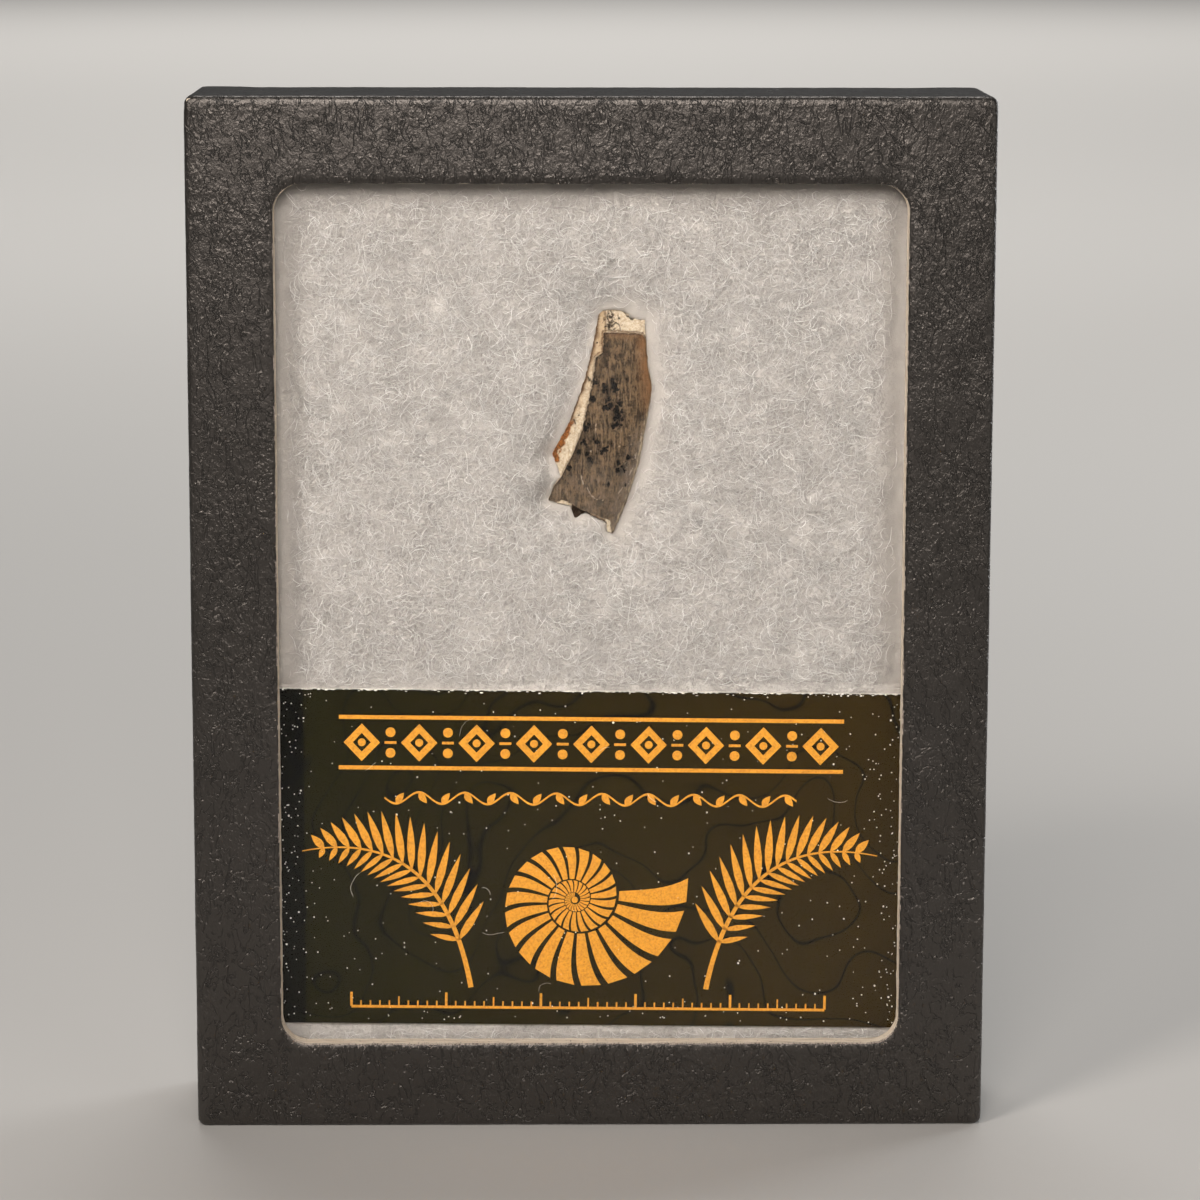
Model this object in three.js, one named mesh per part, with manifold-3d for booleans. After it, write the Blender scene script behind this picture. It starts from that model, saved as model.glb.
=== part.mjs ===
// A small glazed specimen case that holds one shard of a tyrannosaur's tooth.
//
// The case is a shallow chipboard tray filled with polyester batting, and a deeper chipboard
// lid that slides over it. Both are wrapped in black paper. The lid has a window with round
// corners, and a pane lies loose behind it. The tooth shard and a printed card are pressed
// against the pane by the batting, and two steel pins go through the side walls and hold the
// lid on the tray.
//
// Millimetres, +Z up. The case stands on its lower edge with the window towards -Y. The origin
// is the centre of its footprint on the surface that it stands on.

import * as THREE from 'three';
import { LoftGeometry } from 'three/addons/geometries/LoftGeometry.js';
import { RoundedBoxGeometry } from 'three/addons/geometries/RoundedBoxGeometry.js';
import { mergeVertices } from 'three/addons/utils/BufferGeometryUtils.js';
import Module from 'manifold-3d';

// Case
const CASE_WIDTH = 82.6;
const CASE_HEIGHT = 108;
const CASE_DEPTH = 19;
const EDGE_RADIUS = 0.5;
const EDGE_SEGMENTS = 3;

// Lid: one folded sheet of chipboard under embossed paper, which is turned in over the rim
const LID_DEPTH = 18.5;
const LID_BOARD = 1.6;
const LID_PAPER = 0.25;
const LID_TURN_IN = 8;

// Window: the die leaves the board a little wider at the back than at the front
const WINDOW_BORDER = 8.8;
const WINDOW_RADIUS = 3;
const WINDOW_TAPER = 0.2;
const CORNER_SEGMENTS = 8;

// Pane, tray and their running gaps
const PANE_THICKNESS = 1.6;
const TRAY_BOARD = 1.5;
const TRAY_PAPER = 0.2;
const TRAY_TURN_IN = 4;
const SLIDING_GAP = 0.3;
const SOFT_GAP = 0.3;

// Printed card, tipped a little clockwise
const CARD_WIDTH = 70.6;
const CARD_HEIGHT = 36;
const CARD_THICKNESS = 0.35;
const CARD_CENTRE_Z = 28.05;
const CARD_TIP = THREE.MathUtils.degToRad(0.6);
const CARD_GAP = 0.2;

// Tooth shard: where its middle lies behind the pane, and the curve of the crown that it
// broke from. The enamel is a thin hard coat over the dentine.
const SHARD_CENTRE_X = 1;
const SHARD_CENTRE_Z = 74.3;
const SHARD_GAP = 0.25;
const SHARD_LEAN = THREE.MathUtils.degToRad(11.3);
const CREST_OFFSET = 1.3;
const CROWN_RADIUS = 9;
const CROWN_ARC_RADIUS = 60;
const CROWN_HALF_LENGTH = 16;
const CROWN_ROWS = 14;
const CROWN_SEGMENTS = 72;
const ENAMEL_THICKNESS = 0.35;
const BREAK_HALF_SIZE = new THREE.Vector3(7.4, 3.4, 14.5);
const BREAK_DEPTH = 1.2;
const OUTLINE_SEGMENTS = 3;

// The shard's broken top leans back from the end of the enamel, with pits of lost dentine
const TOP_BREAK_SLANT = THREE.MathUtils.degToRad(35);
const TOP_BREAK_Z = 9.3;
const TOP_BREAK_DEPTH = 0.9;
const TOP_BREAK_CUTTER = new THREE.Vector3(20, 6, 6);
const TOP_PITS = [
  { x: 0.9, z: 10.7, depth: 1.6, radius: 0.45 },
  { x: 1.5, z: 9.9, depth: 1.2, radius: 0.5 },
];

// Dish in the batting that the shard is bedded in
const DISH_HALF_WIDTH = 6.7;
const DISH_HALF_LENGTH = 13.8;
const DISH_DEPTH = 5.2;
const DISH_SEGMENTS = 10;

// Pins that hold the lid on the tray
const PIN_LENGTH = 12;
const PIN_RADIUS = 0.35;
const PIN_POINT = 1.6;
const PIN_HEAD_RADIUS = 1.2;
const PIN_HEAD_HEIGHT = 0.5;
const PIN_Z = CASE_HEIGHT / 2;
const PIN_TO_TURN_IN = 2;
const PIN_SEGMENTS = 20;

// Depths along Y, from the face of the lid to the back of the tray
const FACE_Y = -CASE_DEPTH / 2;
const BACK_Y = CASE_DEPTH / 2;
const BOARD_FACE_Y = FACE_Y + LID_PAPER;
const PANE_FACE_Y = BOARD_FACE_Y + LID_BOARD;
const PANE_BACK_Y = PANE_FACE_Y + PANE_THICKNESS;
const LID_RIM_Y = FACE_Y + LID_DEPTH;
const TRAY_FLOOR_Y = BACK_Y - TRAY_PAPER - TRAY_BOARD;
const PIN_Y = LID_RIM_Y - LID_TURN_IN - PIN_TO_TURN_IN;

// Distances from the outside of the lid to each layer of its and the tray's walls
const LID_BOARD_INSET = LID_PAPER;
const LID_INNER_INSET = LID_BOARD_INSET + LID_BOARD;
const TURN_IN_INSET = LID_INNER_INSET + LID_PAPER;
const TRAY_INSET = TURN_IN_INSET + SLIDING_GAP;
const TRAY_BOARD_INSET = TRAY_INSET + TRAY_PAPER;
const TRAY_INNER_INSET = TRAY_BOARD_INSET + TRAY_BOARD;
const TRAY_LINING_INSET = TRAY_INNER_INSET + TRAY_PAPER;
const BATTING_INSET = TRAY_LINING_INSET + SOFT_GAP;

// Past this, a cutter reaches clear of what it cuts
const CUT_MARGIN = 2;

// Corners closer than this are one corner
const MERGE_DISTANCE = 1e-4;

const wasm = await Module();
wasm.setup();

/** A closed three.js geometry as a solid that can be cut and joined. */
function solidOf(geometry) {
  const bare = new THREE.BufferGeometry();
  bare.setAttribute('position', geometry.attributes.position);
  bare.setIndex(geometry.index);
  const merged = mergeVertices(bare, MERGE_DISTANCE);
  return new wasm.Manifold(new wasm.Mesh({
    numProp: 3,
    vertProperties: new Float32Array(merged.attributes.position.array),
    triVerts: new Uint32Array(merged.index.array),
  }));
}

/** A cut or joined solid as a three.js geometry. */
function geometryOf(solid) {
  const { vertProperties, triVerts } = solid.getMesh();
  const geometry = new THREE.BufferGeometry();
  geometry.setAttribute('position', new THREE.BufferAttribute(vertProperties, 3));
  geometry.setIndex(new THREE.BufferAttribute(triVerts, 1));
  geometry.computeVertexNormals();
  return geometry;
}

/** Moves a box, drawn about its own middle, to a depth in the case and to mid height. */
function seat(geometry, frontY, backY) {
  return geometry.translate(0, (frontY + backY) / 2, CASE_HEIGHT / 2);
}

/** A block that lies the given distance inside the case's outline on all four sides. */
function block(inset, frontY, backY) {
  const box = new THREE.BoxGeometry(
    CASE_WIDTH - 2 * inset,
    backY - frontY,
    CASE_HEIGHT - 2 * inset,
  );
  return solidOf(seat(box, frontY, backY));
}

/** The same with its edges rounded, as folded paper is. */
function roundedBlock(inset, frontY, backY) {
  const box = new RoundedBoxGeometry(
    CASE_WIDTH - 2 * inset,
    backY - frontY,
    CASE_HEIGHT - 2 * inset,
    EDGE_SEGMENTS,
    EDGE_RADIUS,
  );
  return solidOf(seat(box, frontY, backY));
}

/** A flat shape, drawn in X and Z, made solid between two depths. */
function extrudeBack(shape, frontY, backY, curveSegments) {
  const geometry = new THREE.ExtrudeGeometry(shape, {
    depth: backY - frontY,
    curveSegments,
    bevelEnabled: false,
  });
  return geometry.rotateX(Math.PI / 2).translate(0, backY, 0);
}

/** A rectangle with round corners about the middle of the window, as points at one depth. */
function windowSection(narrowing, y) {
  const halfWidth = CASE_WIDTH / 2 - WINDOW_BORDER - narrowing;
  const halfHeight = CASE_HEIGHT / 2 - WINDOW_BORDER - narrowing;
  const shape = new THREE.Shape();
  const corners = [[1, 1, 0], [-1, 1, 1], [-1, -1, 2], [1, -1, 3]];
  for (const [sideX, sideZ, quarter] of corners) {
    shape.absarc(
      sideX * (halfWidth - WINDOW_RADIUS),
      sideZ * (halfHeight - WINDOW_RADIUS),
      WINDOW_RADIUS,
      quarter * Math.PI / 2,
      (quarter + 1) * Math.PI / 2,
      false,
    );
  }
  return shape.getPoints(CORNER_SEGMENTS).map(
    (point) => new THREE.Vector3(point.x, y, point.y + CASE_HEIGHT / 2),
  );
}

/** What the window takes out of the lid: straight through the paper, narrowing in the board. */
function windowCutter() {
  const sections = [
    windowSection(0, FACE_Y - CUT_MARGIN),
    windowSection(0, BOARD_FACE_Y),
    windowSection(WINDOW_TAPER, PANE_FACE_Y),
    windowSection(WINDOW_TAPER, PANE_FACE_Y + CUT_MARGIN),
  ];
  return solidOf(new LoftGeometry(sections.reverse(), { capStart: true, capEnd: true }));
}

/** A hole along X through every wall that the pins pass. */
function pinHole() {
  const reach = CASE_WIDTH + 2 * CUT_MARGIN;
  const radius = PIN_RADIUS + SLIDING_GAP;
  const hole = new THREE.CylinderGeometry(radius, radius, reach, PIN_SEGMENTS);
  return solidOf(hole.rotateZ(Math.PI / 2).translate(0, PIN_Y, PIN_Z));
}

/** Lid board: a front with the window, and four side walls. */
function lidBoard() {
  return block(LID_BOARD_INSET, BOARD_FACE_Y, LID_RIM_Y - LID_PAPER)
    .subtract(block(LID_INNER_INSET, PANE_FACE_Y, LID_RIM_Y + CUT_MARGIN))
    .subtract(windowCutter())
    .subtract(pinHole());
}

/** Lid paper: wrapped over the board and turned in round the rim of the lid. */
function lidPaper() {
  return roundedBlock(0, FACE_Y, LID_RIM_Y)
    .subtract(block(LID_BOARD_INSET, BOARD_FACE_Y, LID_RIM_Y - LID_PAPER))
    .subtract(block(LID_INNER_INSET, PANE_FACE_Y, LID_RIM_Y - LID_TURN_IN))
    .subtract(block(TURN_IN_INSET, PANE_FACE_Y, LID_RIM_Y + CUT_MARGIN))
    .add(turnedInPaper())
    .subtract(windowCutter())
    .subtract(pinHole());
}

/** The strip of lid paper that is glued to the inside of the side walls. */
function turnedInPaper() {
  return block(LID_INNER_INSET, LID_RIM_Y - LID_TURN_IN, LID_RIM_Y - LID_PAPER)
    .subtract(block(TURN_IN_INSET, PANE_FACE_Y, LID_RIM_Y + CUT_MARGIN));
}

/** Pane: loose in the lid, between the board behind the window and the rim of the tray. */
function pane() {
  return block(LID_INNER_INSET + SLIDING_GAP, PANE_FACE_Y, PANE_BACK_Y);
}

/** Tray board: a back and four side walls, open towards the pane. */
function trayBoard() {
  return block(TRAY_BOARD_INSET, PANE_BACK_Y + TRAY_PAPER, BACK_Y - TRAY_PAPER)
    .subtract(block(TRAY_INNER_INSET, PANE_BACK_Y - CUT_MARGIN, TRAY_FLOOR_Y))
    .subtract(pinHole());
}

/** Tray paper: over the back and the walls, and turned in over the rim. */
function trayPaper() {
  const turnInY = PANE_BACK_Y + TRAY_TURN_IN;
  const lining = block(TRAY_INNER_INSET, PANE_BACK_Y + TRAY_PAPER, turnInY);
  return roundedBlock(TRAY_INSET, PANE_BACK_Y, BACK_Y)
    .subtract(block(TRAY_BOARD_INSET, PANE_BACK_Y + TRAY_PAPER, BACK_Y - TRAY_PAPER))
    .add(lining)
    .subtract(block(TRAY_LINING_INSET, PANE_BACK_Y - CUT_MARGIN, turnInY + CUT_MARGIN))
    .subtract(pinHole());
}

/** Card outline in its own frame, drawn about its middle. */
function cardBlock(frontY, backY, margin) {
  const card = new THREE.BoxGeometry(
    CARD_WIDTH + 2 * margin,
    backY - frontY,
    CARD_HEIGHT + 2 * margin,
  );
  card.translate(0, (frontY + backY) / 2, 0);
  return card.rotateY(CARD_TIP).translate(0, 0, CARD_CENTRE_Z);
}

/** Card: flat, close behind the pane, wider than the window. */
function card() {
  const cardFaceY = PANE_BACK_Y + CARD_GAP;
  return cardBlock(cardFaceY, cardFaceY + CARD_THICKNESS, 0);
}

/** Batting: a soft pad that fills the tray, with a dish for the shard and a bed for the card. */
function batting() {
  const battingFaceY = PANE_BACK_Y + SOFT_GAP;
  const cardBackY = PANE_BACK_Y + CARD_GAP + CARD_THICKNESS;
  const dish = new THREE.Shape();
  dish.absellipse(0, 0, DISH_HALF_WIDTH, DISH_HALF_LENGTH, 0, 2 * Math.PI, false, 0);
  const dishFloorY = battingFaceY + DISH_DEPTH;
  const dishCutter = extrudeBack(dish, battingFaceY - CUT_MARGIN, dishFloorY, DISH_SEGMENTS)
    .rotateY(SHARD_LEAN)
    .translate(SHARD_CENTRE_X, 0, SHARD_CENTRE_Z);
  const cardBed = cardBlock(battingFaceY - CUT_MARGIN, cardBackY + SOFT_GAP, SOFT_GAP);
  return block(BATTING_INSET, battingFaceY, TRAY_FLOOR_Y - SOFT_GAP)
    .subtract(solidOf(dishCutter))
    .subtract(solidOf(cardBed))
    .subtract(pinHole());
}

/** The shard's right side and tip, which the enamel and the whole outline share. */
function drawRightSide(outline) {
  outline.splineThru([
    new THREE.Vector2(4.9, 5.5),
    new THREE.Vector2(5.3, 3.3),
    new THREE.Vector2(4.8, 0.2),
    new THREE.Vector2(4, -4.3),
    new THREE.Vector2(2.7, -8.5),
    new THREE.Vector2(1.5, -11.5),
  ]);
  outline.lineTo(1.3, -11.9);
  outline.lineTo(0.7, -11.6);
  outline.lineTo(0.7, -10.6);
}

/** Whole outline of the shard about its middle: broken top, worn right side, torn left side. */
function shardOutline() {
  const outline = new THREE.Shape();
  outline.moveTo(-0.4, 9.8);
  outline.lineTo(-0.1, 11.1);
  outline.lineTo(0.3, 11.4);
  outline.lineTo(1.6, 11.6);
  outline.lineTo(2.8, 11.3);
  outline.lineTo(3.2, 10.7);
  outline.lineTo(4.6, 10.5);
  outline.lineTo(4.7, 8.5);
  drawRightSide(outline);
  outline.lineTo(-1.4, -9.6);
  outline.lineTo(-2.6, -10.2);
  outline.lineTo(-3.1, -8.9);
  outline.lineTo(-5.4, -8.5);
  outline.lineTo(-4.8, -7);
  outline.lineTo(-4.1, -6);
  outline.lineTo(-5, -3.6);
  outline.lineTo(-4.3, -2.4);
  outline.lineTo(-3, 0.2);
  outline.lineTo(-1.5, 4.6);
  outline.lineTo(-0.7, 7.9);
  outline.closePath();
  return outline;
}

/** Where the enamel is left on the shard. */
function enamelOutline() {
  const outline = new THREE.Shape();
  outline.moveTo(0.3, 9.2);
  outline.lineTo(3.6, 9.2);
  outline.lineTo(4.3, 9);
  outline.lineTo(4.7, 8.5);
  drawRightSide(outline);
  outline.lineTo(-1.9, -9.4);
  outline.lineTo(-3.1, -8.9);
  outline.lineTo(-5.4, -8.5);
  outline.lineTo(-4.8, -7);
  outline.lineTo(-4.1, -6);
  outline.lineTo(-2.8, -3.3);
  outline.lineTo(-2, -1.2);
  outline.lineTo(-0.9, 3.7);
  outline.lineTo(-0.5, 6.6);
  outline.lineTo(0.2, 7.1);
  outline.closePath();
  return outline;
}

/** The crown's curved surface: a long barrel that lies behind its crest, leaning as it grew. */
function crownBarrel(depthBelowEnamel) {
  const profile = [new THREE.Vector2(0, -CROWN_HALF_LENGTH)];
  for (let row = 0; row <= CROWN_ROWS; row += 1) {
    const along = CROWN_HALF_LENGTH * (2 * row / CROWN_ROWS - 1);
    const sag = CROWN_ARC_RADIUS - Math.sqrt(CROWN_ARC_RADIUS ** 2 - along ** 2);
    profile.push(new THREE.Vector2(CROWN_RADIUS - sag - depthBelowEnamel, along));
  }
  profile.push(new THREE.Vector2(0, CROWN_HALF_LENGTH));
  return solidOf(
    new THREE.LatheGeometry(profile, CROWN_SEGMENTS)
      .rotateX(Math.PI / 2)
      .rotateY(SHARD_LEAN)
      .translate(CREST_OFFSET, CROWN_RADIUS, 0),
  );
}

/** A rough lump whose back half gives the shard its uneven broken back. */
function brokenBack() {
  return solidOf(
    new THREE.IcosahedronGeometry(1, 3)
      .scale(BREAK_HALF_SIZE.x, BREAK_HALF_SIZE.y, BREAK_HALF_SIZE.z)
      .rotateY(SHARD_LEAN)
      .translate(0, BREAK_DEPTH, 0),
  );
}

/** A pit where crumbly dentine has fallen out, a little longer than it is wide. */
function pit({ x, z, depth, radius }) {
  const lump = new THREE.IcosahedronGeometry(radius, 1);
  return solidOf(lump.scale(1, 1, 1.3).translate(x, depth, z));
}

/** The broken top: a slanted cut that leans back from the end of the enamel. */
function topBreak() {
  const { x: width, y: depth, z: height } = TOP_BREAK_CUTTER;
  return solidOf(
    new THREE.BoxGeometry(width, depth, height)
      .translate(0, -depth / 2, height / 2)
      .rotateX(-TOP_BREAK_SLANT)
      .translate(0, TOP_BREAK_DEPTH, TOP_BREAK_Z),
  );
}

/** Tooth shard: dentine with its broken faces, and the enamel standing proud of it. */
function toothShard() {
  const depth = 2 * BREAK_HALF_SIZE.y + CUT_MARGIN;
  const dentine = solidOf(extrudeBack(shardOutline(), -CUT_MARGIN, depth, OUTLINE_SEGMENTS))
    .intersect(crownBarrel(ENAMEL_THICKNESS))
    .subtract(topBreak());
  const enamel = solidOf(extrudeBack(enamelOutline(), -CUT_MARGIN, depth, OUTLINE_SEGMENTS))
    .intersect(crownBarrel(0));
  const shard = dentine.add(enamel).intersect(brokenBack());
  return TOP_PITS.reduce((pitted, size) => pitted.subtract(pit(size)), shard);
}

/** Pin: a round shank with a point, which runs along -X from under a low head. */
function pin() {
  const headEdge = PIN_HEAD_HEIGHT / 3;
  const profile = [
    new THREE.Vector2(0, -PIN_LENGTH),
    new THREE.Vector2(PIN_RADIUS, PIN_POINT - PIN_LENGTH),
    new THREE.Vector2(PIN_RADIUS, 0),
    new THREE.Vector2(PIN_HEAD_RADIUS, 0),
    new THREE.Vector2(PIN_HEAD_RADIUS, headEdge),
    new THREE.Vector2(PIN_HEAD_RADIUS - headEdge, PIN_HEAD_HEIGHT),
    new THREE.Vector2(0, PIN_HEAD_HEIGHT),
  ];
  return new THREE.LatheGeometry(profile, PIN_SEGMENTS).rotateZ(-Math.PI / 2);
}

/** One named piece with its own finish. */
function piece(name, geometry, color, roughness, metalness = 0) {
  const mesh = new THREE.Mesh(geometry, new THREE.MeshStandardMaterial({
    color,
    roughness,
    metalness,
  }));
  mesh.name = name;
  return mesh;
}

const specimenCase = new THREE.Group();
specimenCase.add(piece('lid_board', geometryOf(lidBoard()), 0xcbbd9f, 0.9));
specimenCase.add(piece('lid_cover_paper', geometryOf(lidPaper()), 0x1b1a18, 0.55));
specimenCase.add(piece('window_glass', geometryOf(pane()), 0xeef4f2, 0.03));
specimenCase.add(piece('tray_board', geometryOf(trayBoard()), 0xb9ab90, 0.9));
specimenCase.add(piece('tray_cover_paper', geometryOf(trayPaper()), 0x1d1c1b, 0.7));
specimenCase.add(piece('fibre_batting', geometryOf(batting()), 0xd9d2c9, 0.95));
specimenCase.add(piece('label_card', card(), 0x2b2618, 0.35));

const tooth = piece('tooth_shard', geometryOf(toothShard()), 0x6d5840, 0.45);
tooth.position.set(SHARD_CENTRE_X, PANE_BACK_Y + SHARD_GAP, SHARD_CENTRE_Z);
specimenCase.add(tooth);

const rightPin = piece('pin_right', pin(), 0xb9b9b4, 0.3, 1);
rightPin.position.set(CASE_WIDTH / 2, PIN_Y, PIN_Z);
specimenCase.add(rightPin);

const leftPin = piece('pin_left', pin(), 0xb9b9b4, 0.3, 1);
leftPin.position.set(-CASE_WIDTH / 2, PIN_Y, PIN_Z);
leftPin.rotation.z = Math.PI;
specimenCase.add(leftPin);

export default specimenCase;
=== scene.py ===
"""Dresses a glazed specimen case that holds one shard of a fossil tooth.

The case is a chipboard lid and tray under black paper. Behind the window's pane, white batting presses
the shard and a printed card forward. Pieces are modelled in millimetres, and brought to metres when done.
"""

from __future__ import annotations

import logging
import math
from collections.abc import Callable, Iterable, Sequence
from dataclasses import dataclass, field
from enum import Enum

import bmesh
import bpy
import numpy as np
from mathutils import Matrix, Vector
from mathutils import noise as perlin

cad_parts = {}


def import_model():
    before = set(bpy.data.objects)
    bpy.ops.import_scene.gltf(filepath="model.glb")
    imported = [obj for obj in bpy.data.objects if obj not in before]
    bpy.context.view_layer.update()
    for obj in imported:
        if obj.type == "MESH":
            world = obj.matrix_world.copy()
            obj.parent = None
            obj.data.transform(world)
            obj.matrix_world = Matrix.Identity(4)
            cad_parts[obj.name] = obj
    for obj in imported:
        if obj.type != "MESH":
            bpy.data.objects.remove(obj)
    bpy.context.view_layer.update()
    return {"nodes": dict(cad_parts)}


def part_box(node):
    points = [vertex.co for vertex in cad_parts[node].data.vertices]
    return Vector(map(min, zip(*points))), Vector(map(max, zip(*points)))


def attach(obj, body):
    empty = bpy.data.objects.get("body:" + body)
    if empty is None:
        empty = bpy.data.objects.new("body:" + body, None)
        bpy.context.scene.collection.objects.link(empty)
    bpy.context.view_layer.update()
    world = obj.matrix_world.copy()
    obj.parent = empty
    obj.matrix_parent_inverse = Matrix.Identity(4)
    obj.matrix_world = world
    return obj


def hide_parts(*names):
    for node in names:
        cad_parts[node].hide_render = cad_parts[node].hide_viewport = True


LOG = logging.getLogger("specimen_case")

MM = 0.001
BODY = "root"

Colour = tuple[float, float, float]
Socket = bpy.types.NodeSocket
Piece = bpy.types.Object
Array = np.ndarray
Pair = tuple[float, float]
Line = Sequence[Pair]


# ---- Modelling bench ----


@dataclass(frozen=True)
class Span:
    """The room that a piece of the frame takes, in millimetres."""

    low: Vector
    high: Vector

    @classmethod
    def of(cls, node: str) -> "Span":
        """The room that a node of the frame takes."""
        low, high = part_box(node)
        return cls(Vector(low) / MM, Vector(high) / MM)

    @property
    def size(self) -> Vector:
        """Width, depth and height."""
        return self.high - self.low

    @property
    def centre(self) -> Vector:
        """Middle of the room."""
        return (self.low + self.high) / 2


def pick_only(piece: Piece) -> None:
    """Selects one object and nothing else.

    Args:
        piece: The object that the next operator works on.
    """
    if bpy.context.object and bpy.context.object.mode != "OBJECT":
        bpy.ops.object.mode_set(mode="OBJECT")
    bpy.ops.object.select_all(action="DESELECT")
    piece.select_set(True)
    bpy.context.view_layer.objects.active = piece


def start_piece(name: str) -> Piece:
    """Names the primitive that was just added and applies its place.

    Args:
        name: The piece's name.

    Returns:
        The new object, alone in the selection.
    """
    piece = bpy.context.object
    piece.name = name
    piece.data.name = name
    pick_only(piece)
    bpy.ops.object.transform_apply(location=True, rotation=True, scale=True)
    return piece


def add_block(name: str, place: Sequence[float], size: Sequence[float]) -> Piece:
    """Adds a plain block, by its middle and its width, depth and height."""
    bpy.ops.mesh.primitive_cube_add(size=1, location=place, scale=size)
    return start_piece(name)


class Part(Enum):
    """What is picked on a mesh."""

    FACES = "FACE"
    EDGES = "EDGE"


def pick(piece: Piece, part: Part, test: Callable[..., bool]) -> None:
    """Goes to edit mode with the faces or edges selected that pass a test.

    Args:
        piece: The object to edit.
        part: Which of the two.
        test: Says of one whether it is wanted.
    """
    pick_only(piece)
    bpy.ops.object.mode_set(mode="EDIT")
    bpy.ops.mesh.select_mode(type=part.value)
    bpy.ops.mesh.select_all(action="DESELECT")
    for one in getattr(bmesh.from_edit_mesh(piece.data), part.name.lower()):
        one.select_set(test(one))


def leave_edit() -> None:
    """Goes back to object mode."""
    bpy.ops.object.mode_set(mode="OBJECT")


def apply_modifier(piece: Piece, kind: str, **settings: object) -> None:
    """Adds a modifier, sets it up and applies it.

    Args:
        piece: The object it works on.
        kind: The modifier's type.
        settings: Its properties.
    """
    pick_only(piece)
    modifier = piece.modifiers.new(kind.title(), kind)
    for name, value in settings.items():
        setattr(modifier, name, value)
    bpy.ops.object.modifier_apply(modifier=modifier.name)


def corners_of(piece: Piece, what: str = "co") -> Array:
    """Reads a mesh's corners.

    Args:
        piece: The object.
        what: "co" for their places, "normal" for their normals.

    Returns:
        One row for each corner.
    """
    flat = np.empty(len(piece.data.vertices) * 3, dtype=np.float64)
    piece.data.vertices.foreach_get(what, flat)
    return flat.reshape(-1, 3)


def place_points(piece: Piece, points: Array) -> None:
    """Moves a mesh's corners to new places, one row each."""
    piece.data.vertices.foreach_set("co", points.astype(np.float32).ravel())
    piece.data.update()


def mark(piece: Piece, name: str, values: Array) -> None:
    """Stores a named value at each of a mesh's corners, for a material to read."""
    layer = piece.data.attributes.new(name, "FLOAT", "POINT")
    layer.data.foreach_set("value", values.astype(np.float32))


def ramp(values: Array, width: float = 1.0) -> Array:
    """A straight rise from 0 to 1 over a width, held at both ends."""
    return np.clip(values / width, 0, 1)


def bell(distance: Array, width: float | Array) -> Array:
    """1 at no distance, falling softly to 0 over a width."""
    return np.exp(-((distance / width) ** 2))


def grain(points: Array, size: float, seed: int, octaves: int = 1) -> Array:
    """Smooth noise from about -1 to 1 at each point.

    Args:
        points: One row for each point.
        size: Length of the noise's waves, in the points' unit.
        seed: Picks one noise out of many.
        octaves: How many finer layers are added.

    Returns:
        One value for each point.
    """
    shift = Vector((seed * 17.31, seed * 5.77, seed * 11.13))
    if octaves == 1:
        return np.array([perlin.noise(Vector(p) / size + shift) for p in points])
    return np.array([perlin.fractal(Vector(p) / size + shift, 1.0, 2.0, octaves) for p in points])


def stand(name: str, data: bpy.types.ID) -> Piece:
    """Puts a new object in the scene.

    Args:
        name: Its name.
        data: Its mesh, lamp or lens.

    Returns:
        The object.
    """
    piece = bpy.data.objects.new(name, data)
    bpy.context.scene.collection.objects.link(piece)
    return piece


def mesh_piece(name: str, points: Array, faces: Array) -> Piece:
    """Makes one joined mesh of many small like things.

    Args:
        name: The piece's name.
        points: One row for each corner.
        faces: One row of corner numbers for each face.

    Returns:
        The new object.
    """
    mesh = bpy.data.meshes.new(name)
    sides = faces.shape[1]
    mesh.vertices.add(len(points))
    mesh.vertices.foreach_set("co", points.astype(np.float32).ravel())
    mesh.loops.add(faces.size)
    mesh.loops.foreach_set("vertex_index", faces.astype(np.int32).ravel())
    mesh.polygons.add(len(faces))
    mesh.polygons.foreach_set("loop_start", np.arange(0, faces.size, sides, dtype=np.int32))
    mesh.update(calc_edges=True)
    return stand(name, mesh)


def smooth(piece: Piece, degrees: float) -> None:
    """Shades a piece smooth but for edges sharper than an angle."""
    pick_only(piece)
    bpy.ops.object.shade_smooth_by_angle(angle=math.radians(degrees))


def finish_piece(
    piece: Piece, material: bpy.types.Material | None, nodes: Sequence[str] = ()
) -> Piece:
    """Brings a piece from millimetres to metres, dresses it and sets it in the frame.

    Args:
        piece: The object, modelled in millimetres.
        material: Its only material, or None if it has its own already.
        nodes: The frame's nodes that it stands for.

    Returns:
        The same object.
    """
    piece.data.transform(Matrix.Scale(MM, 4))
    piece.data.update()
    if material:
        piece.data.materials.clear()
        piece.data.materials.append(material)
    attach(piece, BODY)
    if nodes:
        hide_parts(*nodes)
    LOG.info("%s: %d faces", piece.name, len(piece.data.polygons))
    return piece


# ---- Finishes ----


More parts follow.
